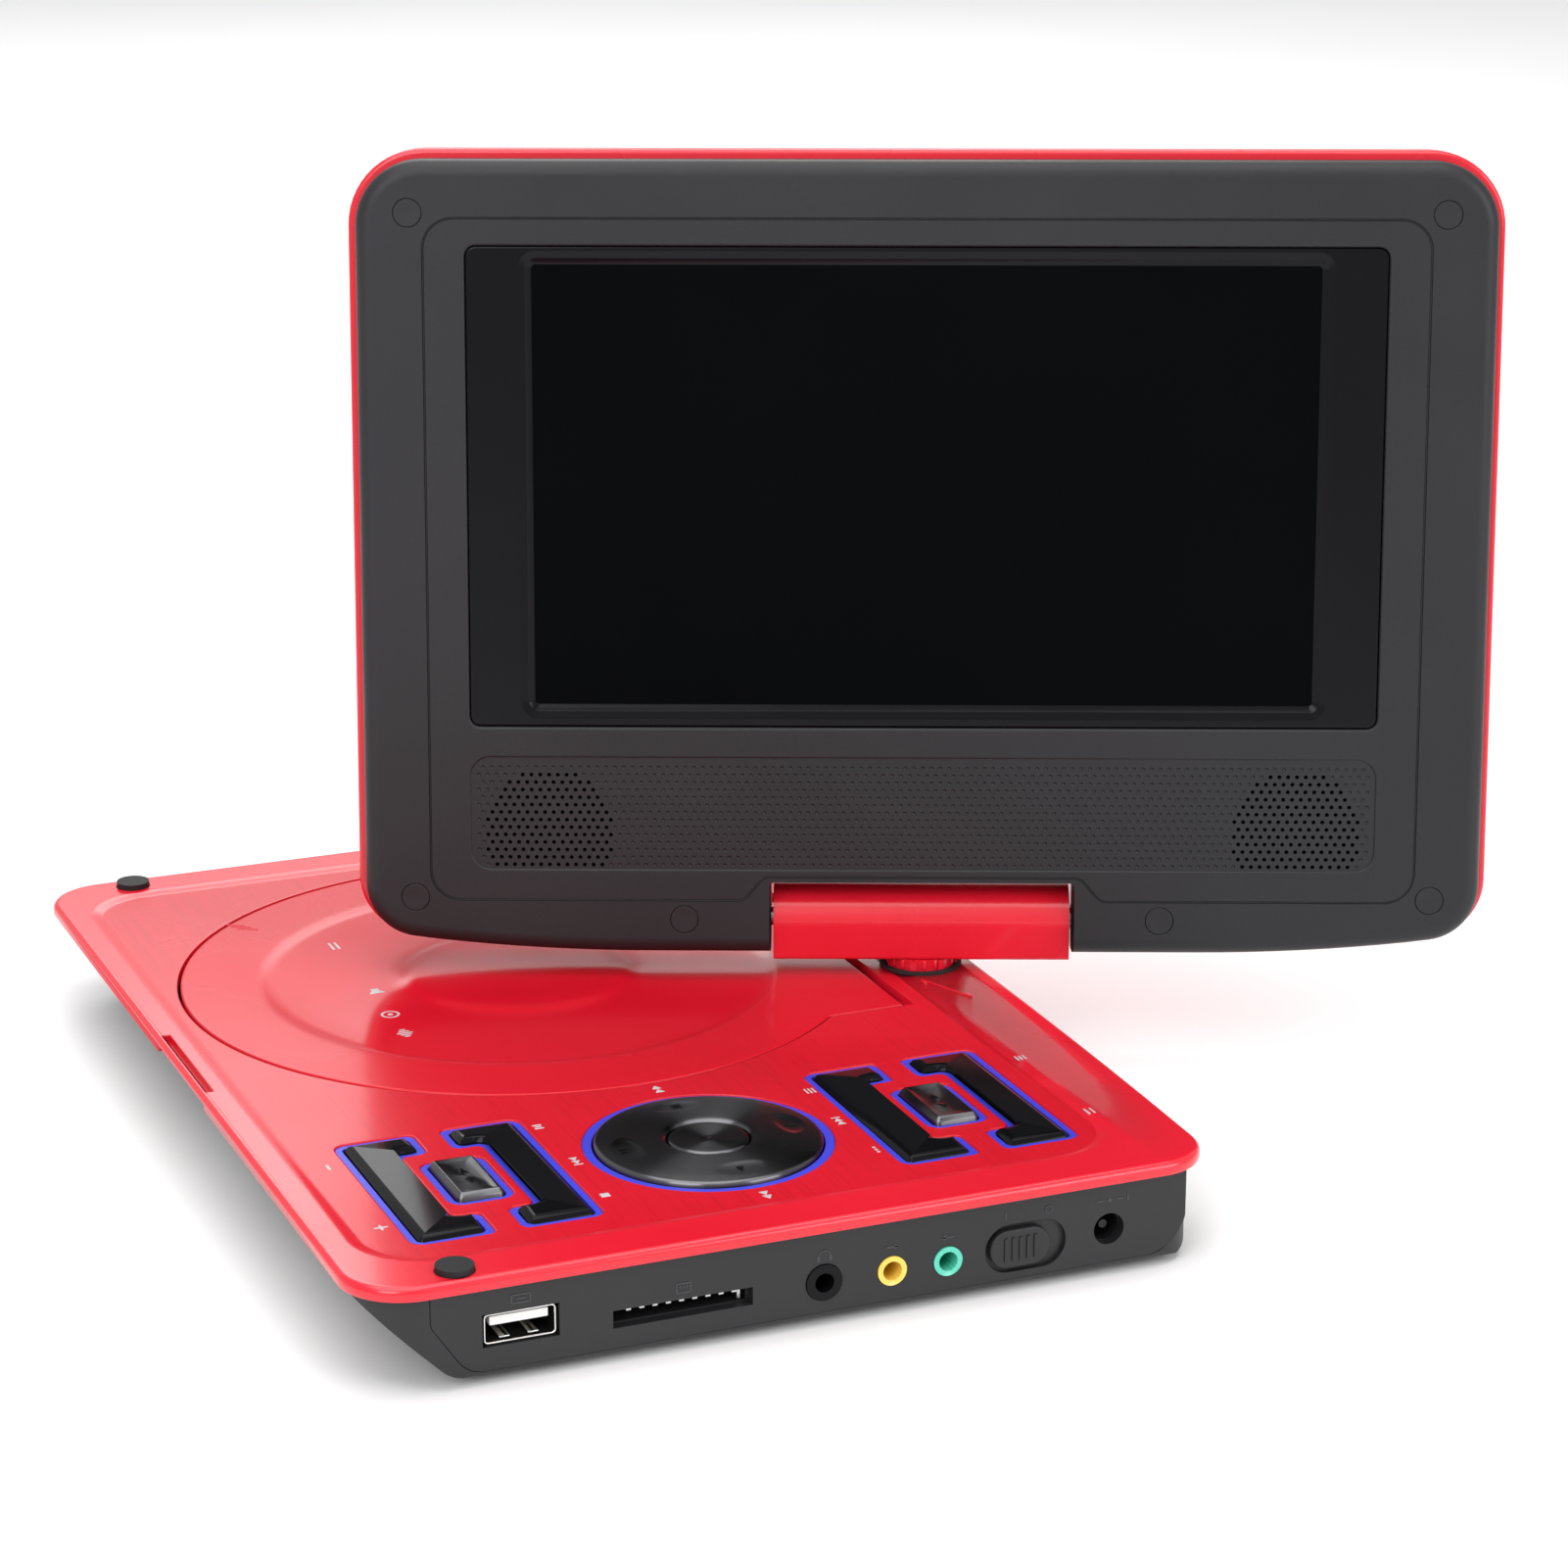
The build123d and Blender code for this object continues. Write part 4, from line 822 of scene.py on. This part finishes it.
# ---------------------------------------------------------------- base: red top panel
tp = Piece()
HW, FY, BY, BOW = 113.1, -82.3, 82.3, 2.6
def plan_pts():
    n = 12
    P, R = [(-HW, FY), (HW, FY), (HW, BY - BOW)], [12.0, 12.0, 11.0]
    for k in range(1, n):
        x = HW - 14 - (2 * HW - 28) * k / n
        P.append((x, BY - BOW * (x / HW) ** 2)); R.append(0)
    P.append((-HW, BY - BOW)); R.append(11.0)
    return P, R
PP, PRD = plan_pts()
rs = [tp.ring(outline(PP, PRD, 6.0, 14), 18.2), tp.ring(outline(PP, PRD, 0.6, 14), 18.2), tp.ring(outline(PP, PRD, 0.18, 14), 18.38), tp.ring(outline(PP, PRD, 0.0, 14), 18.8)]
for i, q in fillet_steps(1.3, 6):
    rs.append(tp.ring(outline(PP, PRD, i, 14), RIM - q))
rs.append(tp.ring(outline(PP, PRD, 1.55, 14), RIM))
tp.loft(rs)
PN = (-101.2, 101.2, -74.5, 65.4)
slope = [tp.ring(rring(*PN, 12.0, i, 16), z) for i, z in ((-2.75, RIM), (-2.45, RIM), (-2.1, RIM - 0.03), (-1.5, RIM - 0.13), (-0.9, RIM - 0.31), (-0.45, RIM - 0.43), (-0.12, PZ + 0.02), (0.1, PZ), (0.35, PZ))]
tp.loft(slope)
holes_rim = []
for x in (-108.2, 108.2):
    c = [tp.ring(circle(x, -63.6, r, 40), z) for r, z in ((3.75, RIM), (3.62, RIM), (3.5, RIM - 0.1), (3.5, RIM - 0.8))]
    tp.loft(c); tp.cap(c[-1]); holes_rim.append(c[0])
# finger recess and its slot behind the front edge
FR_ = rect(-18.5, 13.5, -80.75, -79.35)
c = [tp.ring(outline(FR_, [0.3] * 4, i, 4), z) for i, z in ((-0.28, RIM), (-0.14, RIM), (0, RIM - 0.14), (0, RIM - 1.3))]
tp.loft(c); tp.cap(c[-1]); holes_rim.append(c[0])
tp.cap(rs[-1], [slope[0], *holes_rim])

holes_panel = []
door_hole = Piece()
i0 = len(tp.v)
def open_ring(grow, z):
    i = len(tp.v)
    tp.v += [(CX + edge_r(a, grow) * math.cos(a), CY + edge_r(a, grow) * math.sin(a), z) for a in angs]
    return list(range(i, len(tp.v)))
def open_ring_back(grow, z, extra):
    i = len(tp.v)
    for a in angs:
        r = edge_r(a, grow)
        x, y = CX + r * math.cos(a), CY + r * math.sin(a)
        if y > BACK - 0.5:
            y += extra
        tp.v.append((x, y, z))
    return list(range(i, len(tp.v)))
c = [open_ring_back(g_, z, 1.6) for g_, z in ((0.95, PZ), (0.80, PZ), (0.66, PZ - 0.05), (0.60, PZ - 0.16), (0.60, 17.3))]
tp.loft(c); holes_panel.append(c[0])
low_holes = [c[-1]]
for nm, cy, flip in (("volume_key", GY[0] - 8.85, False), ("channel_key", GY[0] + 8.85, True), ("search_key", GY[1] - 8.85, False), ("mode_key", GY[1] + 8.85, True)):
    P, R = bracket_pts(cy, flip)
    c = [tp.ring(outline(P, R, i, 6), z) for i, z in ((-0.35, PZ), (-0.22, PZ), (-0.08, PZ - 0.05), (0, PZ - 0.16), (0, 18.2))]
    tp.loft(c); holes_panel.append(c[0]); low_holes.append(c[-1])
for cy in GY:
    c = [tp.ring(outline(rect(KEYX - 10.3, KEYX + 10.3, cy - 6.1, cy + 6.1), [2.8] * 4, i, 8), z) for i, z in ((-0.35, PZ), (-0.22, PZ), (-0.08, PZ - 0.05), (0, PZ - 0.16), (0, 18.2))]
    tp.loft(c); holes_panel.append(c[0]); low_holes.append(c[-1])
c = [tp.ring(circle(DX, DY, 23.1 + g_, 96), z) for g_, z in ((0.35, PZ), (0.22, PZ), (0.08, PZ - 0.05), (0, PZ - 0.16), (0, 18.2))]
tp.loft(c); holes_panel.append(c[0]); low_holes.append(c[-1])
tp.cap(slope[-1], holes_panel)
tp.cap(rs[0], low_holes)
top_obj = tp.make("top_shell", "base", "red_brushed", "red_shell", ["top_panel"], angle=38)
# the brushed field is the recessed panel; the rim is plain
top_obj.data.materials.append(MAT["red_shell"])
for p in top_obj.data.polygons:
    c_ = p.center / MM
    inside = abs(c_.x) < 101.3 and -74.6 < c_.y < 65.5 and c_.z < PZ + 0.02 and c_.z > PZ - 0.2
    p.material_index = 0 if inside else 1


def cut(obj, tool):
    """Boolean difference applied to the mesh; the tool is removed."""
    m = obj.modifiers.new("cut", "BOOLEAN")
    m.operation, m.object, m.solver = "DIFFERENCE", tool, "EXACT"
    dg = bpy.context.evaluated_depsgraph_get()
    me = bpy.data.meshes.new_from_object(obj.evaluated_get(dg))
    obj.modifiers.clear()
    name = obj.data.name
    obj.data = me
    me.name = name
    bpy.data.objects.remove(tool)


def tool_cyl(x, y, r, z0, z1, n=64):
    t = Piece()
    a, b = t.ring(circle(x, y, r, n), z0), t.ring(circle(x, y, r, n), z1)
    t.bridge(a, b); t.cap(a); t.cap(b)
    return t.make("tool", "base", "red_shell")


def tool_box(x0, x1, y0, y1, z0, z1):
    t = Piece()
    a, b = t.ring(rect(x0, x1, y0, y1), z0), t.ring(rect(x0, x1, y0, y1), z1)
    t.bridge(a, b); t.cap(a); t.cap(b)
    return t.make("tool", "base", "red_shell")


cut(top_obj, tool_cyl(O[0], O[1], 7.15, 15, 24))
cut(top_obj, tool_box(-17.4, 16.6, -84, -81.3, 17, 20.0))

# ---------------------------------------------------------------- raised and printed marks (generic shapes only)
def marks_piece(name, body, mat, items, top, low, edge=0.04, frame_of=base, angle=50):
    m_ = Piece(frame_of)
    for P in items:
        area2 = sum(P[i - 1][0] * P[i][1] - P[i][0] * P[i - 1][1] for i in range(len(P)))
        P = P if area2 > 0 else P[::-1]
        slab(m_, P, [0.05] * len(P), top, low, edge, 2, 2)
    return m_.make(name, body, mat, angle=angle)


def arc_bits(cx, cy, r0, r1, a0, a1, n):
    """Ring or arc as n closed pieces with hairline gaps."""
    out = []
    for q in range(n):
        t0, t1 = a0 + (a1 - a0) * (q + 0.02) / n, a0 + (a1 - a0) * (q + 0.98) / n
        out.append([(cx + r * math.cos(t), cy + r * math.sin(t)) for r, t in ((r1, t0), (r1, t1), (r0, t1), (r0, t0))])
    return out


def tri(cx, cy, ang, s=1.0):
    return xform([(-0.75, -0.95), (0.95, 0.0), (-0.75, 0.95)], cx, cy, ang, s)


def bar(cx, cy, w, h, ang=0.0):
    return xform(rect(-w / 2, w / 2, -h / 2, h / 2), cx, cy, ang)


def rec(x, y):
    """Measured on the panel plane, moved to this frame."""
    return x - 1.25, y - 10.67


pr = []
def glyph(kind, x, y):
    x, y = rec(x, y)
    if kind == "plus":
        pr.extend([bar(x, y, 2.2, 0.5), bar(x, y + 0.75, 0.5, 1.0), bar(x, y - 0.75, 0.5, 1.0)])
    elif kind == "minus":
        pr.append(bar(x, y, 2.2, 0.55))
    elif kind == "fwd":
        pr.extend([tri(x - 0.85, y, 0), tri(x + 0.95, y, 0)])
    elif kind == "back":
        pr.extend([tri(x + 0.85, y, math.pi), tri(x - 0.95, y, math.pi)])
    elif kind == "next":
        pr.extend([tri(x - 0.95, y, 0, 0.9), tri(x + 0.6, y, 0, 0.9), bar(x + 1.75, y, 0.4, 1.8)])
    elif kind == "prev":
        pr.extend([tri(x + 0.95, y, math.pi, 0.9), tri(x - 0.6, y, math.pi, 0.9), bar(x - 1.75, y, 0.4, 1.8)])
    elif kind == "square":
        pr.append(bar(x, y, 1.7, 1.7))
    elif kind == "bars":
        pr.extend([bar(x - 0.8, y, 0.5, 1.8), bar(x, y, 0.5, 1.3), bar(x + 0.8, y, 0.5, 1.8)])
    elif kind == "lines":
        pr.extend([bar(x, y + 0.75, 2.4, 0.35), bar(x, y, 2.4, 0.35), bar(x, y - 0.75, 2.4, 0.35)])
    elif kind == "dots":
        pr.extend([circle(x + q * 1.1, y, 0.36, 12) for q in (-1, 0, 1)])
for kind, x, y in (("minus", 57.1, -59.3), ("plus", 86.5, -58.7), ("bars", 53.5, -18.2), ("next", 71.3, -17.4), ("square", 88, -17.9), ("back", 44.6, 8.7), ("fwd", 98.8, 8.4),
                   ("lines", 56.3, 34.8), ("prev", 72.2, 33.9), ("dots", 87.3, 34.7)):
    glyph(kind, x, y)
pr2 = []
# outlines get the label size of the print beside the keys
marks_piece("panel_print", "base", "print_silver", pr, PZ + 0.02, PZ - 0.15, 0.01)
rim_marks = [bar(56, 66.6, 2.0, 0.35), bar(56, 67.4, 2.0, 0.35), bar(56, 68.2, 2.0, 0.35), bar(85.3, 66.9, 2.6, 0.4), bar(85.3, 68.0, 2.6, 0.4)]
marks_piece("rim_print", "base", "print_silver", rim_marks, RIM + 0.02, RIM - 0.15, 0.01)
# embossed: three slanted lines on the door for where to press, turning arrow by the swivel
ox, oy = -74.9, -49.2
marks_piece("door_emboss", "door", "red_door", [bar(ox + q * 1.7, oy + q * 0.9, 0.45, 4.2, math.radians(-28)) for q in (-1, 0, 1)], PZ + 0.10, PZ - 0.2, 0.05)
ic = []
x, y = rec(-26.8, -23.9)
ic += [bar(x - 1.2, y, 1.2, 1.6), xform([(0, -0.8), (1.4, -1.7), (1.4, 1.7), (0, 0.8)], x - 0.6, y, 0)]
x, y = rec(-13.6, -25.2)
ic += arc_bits(x, y, 1.4, 1.9, 0, 2 * math.pi, 28)
ic += [circle(x, y, 0.55, 16)]
x, y = rec(-2.7, -25.7)
ic += [bar(x, y, 0.5, 3.2), bar(x + 0.9, y, 0.5, 2.2), bar(x - 0.9, y, 0.5, 2.2), bar(x + 1.8, y, 0.5, 1.2), bar(x - 1.8, y, 0.5, 1.2)]
x, y = rec(-56, -23.8)
ic += [bar(x, y + 0.6, 4.2, 0.5), bar(x, y - 0.6, 4.2, 0.5)]
dz = PZ - 0.36
marks_piece("door_print", "door", "print_silver", ic, dz + 0.015, dz - 0.1, 0.005)
ar = []
p0, p1 = np.array([9.3, 67.8]), np.array([22.2, 72.8])
dirv = (p1 - p0) / np.linalg.norm(p1 - p0)
th = math.atan2(dirv[1], dirv[0])
mid = (p0 + p1) / 2
ar += [bar(mid[0], mid[1], np.linalg.norm(p1 - p0), 0.35, th), xform([(-2.2, 0.0), (0, 0), (0, 0.35), (-2.0, 1.2)], p1[0], p1[1], th), xform([(0, 0), (2.2, 0), (2.0, -1.2), (0, -0.35)][::-1], p0[0], p0[1], th)]
marks_piece("rim_emboss", "base", "red_shell", ar, RIM + 0.10, RIM - 0.2, 0.05)


# ---------------------------------------------------------------- socket side
def side(y, z, x):
    """Local (y, z, out) of the socket face to the frame."""
    return np.array([x, y, z])


FX = FACE_X
sm = []
def srect(cy, cz, w, h, t=0.28):
    return [bar(cy, cz + h / 2, w, t), bar(cy, cz - h / 2, w, t), bar(cy - w / 2, cz, t, h), bar(cy + w / 2, cz, t, h)]
sm += srect(-53.0, 15.2, 3.4, 1.5) + [bar(-53.0, 15.2, 1.6, 0.3)]
sm += srect(-23.4, 11.9, 2.6, 1.7) + [bar(-24.0, 12.1, 0.25, 0.6), bar(-23.4, 12.1, 0.25, 0.6), bar(-22.8, 12.1, 0.25, 0.6)]
sm += arc_bits(3.0, 13.2, 1.01, 1.3, 0, math.pi, 11)
sm += [bar(1.85, 12.85, 0.6, 0.9), bar(4.15, 12.85, 0.6, 0.9)]
sm += [bar(16.0, 12.9, 2.4, 0.3), xform([(-0.6, -0.6), (0.6, 0), (-0.6, 0.6)], 17.0, 12.9, 0)]
sm += [bar(26.8, 12.9, 2.4, 0.3), xform([(-0.6, -0.6), (0.6, 0), (-0.6, 0.6)], 25.8, 12.9, math.pi)]
sm += [bar(38.0, 15.0, 0.3, 1.5)]
sm += arc_bits(46.5, 15.0, 0.53, 0.8, 0, 2 * math.pi, 16)
sm += [circle(58.6, 14.8, 0.4, 14), bar(56.6, 14.8, 1.4, 0.28), bar(60.6, 14.8, 1.4, 0.28), bar(62.2, 14.8, 0.28, 1.4)]
marks_piece("side_emboss", "base", "emboss_grey", sm, FX + 0.12, FX - 0.2, 0.04, side)

# USB: rolled metal mouth with spring windows, white tongue and four contacts
um = Piece(side)
y0, y1, z0, z1 = -53.0 - 6.6, -53.0 + 6.6, 10.1 - 2.85, 10.1 + 2.85
rs = [um.ring(rring(y0, y1, z0, z1, 0.9, i, 6), x) for i, x in ((0, 97.6), (0, FX - 0.75), (0.10, FX - 0.55), (0.22, FX - 0.5), (0.34, FX - 0.55), (0.42, FX - 0.75), (0.42, 98.3))]
um.loft(rs); um.cap(rs[-1]); um.cap(rs[0])
um = um.make("usb_mouth", "base", "socket_metal", "socket_metal", ["usb_socket"], angle=50)
# painted shade: the inner walls deeper than 1 mm get the near-black hole_dark material instead of the socket metal
um.data.materials.append(MAT["hole_dark"])
for p in um.data.polygons:
    c_ = p.center / MM
    p.material_index = 1 if c_.x < FX - 1.0 and abs(c_.y + 53.0) < 6.3 and abs(c_.z - 10.1) < 2.6 else 0
ut = Piece(side)
slab(ut, rect(-58.3, -47.7, 10.45, 12.15), [0.25] * 4, FX - 1.15, 98.4, 0.2, 4)
ut.make("usb_insert", "base", "white_plastic", None, ["usb_tongue"], angle=50)
uc = Piece(side)
for y in (-56.5, -54.0, -52.0, -49.5):
    slab(uc, rect(y - 0.5, y + 0.5, 10.28, 10.5), [0.05] * 4, FX - 1.6, 99.5, 0.05, 2)
uc.make("usb_contacts", "base", "gold_contact", angle=50)
us = Piece(side)
for y in (-55.6, -50.4):
    slab(us, rect(y - 1.0, y + 1.0, 7.75, 8.15), [0.1] * 4, FX - 1.3, 101.0, 0.15, 3)
us.make("usb_springs", "base", "socket_metal", angle=50)
# card slot: row of spring contacts under the roof, small lock lug
cs = Piece(side)
for k in range(9):
    y = -23.4 - 9.6 + k * 2.45
    slab(cs, rect(y - 0.5, y + 0.5, 8.75, 9.25), [0.08] * 4, FX - 1.35, 103.0, 0.1, 2)
slab(cs, rect(-12.6, -11.9, 7.0, 9.3), [0.1] * 4, FX - 2.2, 100.0, 0.1, 2)
cs.make("card_contacts", "base", "steel", angle=50)
# ribs standing off the swivel post
pz0, pz1 = RIM + 0.56, float(hi("swivel_post")[2]) - 0.05
rb = Piece()
for k in range(20):
    a = 2 * math.pi * k / 20
    c_, s_ = math.cos(a), math.sin(a)
    P = [(O[0] + (6.85) * c_ - t * s_, O[1] + 6.85 * s_ + t * c_) for t in (0.45, -0.45)] + [(O[0] + 7.42 * c_ - t * s_, O[1] + 7.42 * s_ + t * c_) for t in (-0.3, 0.3)]
    slab(rb, P, [0.12] * 4, pz1, pz0 + 0.5, 0.12, 3, 2)
rb.make("post_ribs", "swivel", "red_shell", "red_shell", angle=50)


# ---------------------------------------------------------------- camera, light, floor

YAW, PITCH, ROLL = math.radians(157.343), math.radians(17.445), math.radians(0.138)
look = Vector((math.cos(YAW) * math.cos(PITCH), math.sin(YAW) * math.cos(PITCH), -math.sin(PITCH)))
cam = put(bpy.data.objects.new("camera", bpy.data.cameras.new("camera")))
cam.data.sensor_width = 36.0
cam.data.lens = 97.96
cam.data.shift_y = -0.00785
cam.data.clip_start, cam.data.clip_end = 0.02, 40.0
cam.location = Vector((0.74075, -0.26736, 0.31722))
cam.rotation_mode = "QUATERNION"
cam.rotation_quaternion = look.to_track_quat("-Z", "Y")
sc.camera = cam


def area(name, loc, target, size, power, colour=(1, 1, 1), size_y=None):
    d = bpy.data.lights.new(name, "AREA")
    d.energy, d.color = power, colour
    d.shape = "RECTANGLE"
    d.size, d.size_y = size, size_y or size
    o = put(bpy.data.objects.new(name, d))
    o.location = loc
    o.rotation_mode = "QUATERNION"
    o.rotation_quaternion = (Vector(target) - Vector(loc)).to_track_quat("-Z", "Y")
    return o


area("softbox_top", (0.1, -0.1, 1.5), (0, 0, 0.05), 1.6, 20)
area("softbox_key", (1.1, -1.1, 1.1), (0, 0, 0.08), 0.9, 13)
area("softbox_fill", (1.3, 0.9, 0.7), (0, 0, 0.08), 0.9, 10)
area("softbox_back", (-1.3, 0.4, 1.0), (0, 0, 0.05), 0.9, 7)

world = bpy.data.worlds.new("studio")
sc.world = world
world.use_nodes = True
bg = world.node_tree.nodes["Background"]
bg.inputs["Color"].default_value = (1.0, 1.0, 1.0, 1)
bg.inputs["Strength"].default_value = 0.62
sc.view_settings.view_transform = "Standard"
sc.view_settings.look = "None"
sc.view_settings.exposure = 0.0

fm, ft, fb = nt("studio_floor")
fv = coords(ft)
ft.links.new(ramp(ft, noise(ft, fv, 3.0, 4.0), [(0.3, grey(0.86)), (0.7, grey(0.90))]), fb.inputs["Base Color"])
fb.inputs["Roughness"].default_value = 0.6
bump(ft, fb, noise(ft, fv, 900.0), 0.03, 0.0002)
me = bpy.data.meshes.new("floor")
me.from_pydata([(-6, -6, 0), (6, -6, 0), (6, 6, 0), (-6, 6, 0)], [], [(0, 1, 2, 3)])
floor = put(bpy.data.objects.new("floor", me))
floor.data.materials.append(fm)
floor.location.z = -0.0002
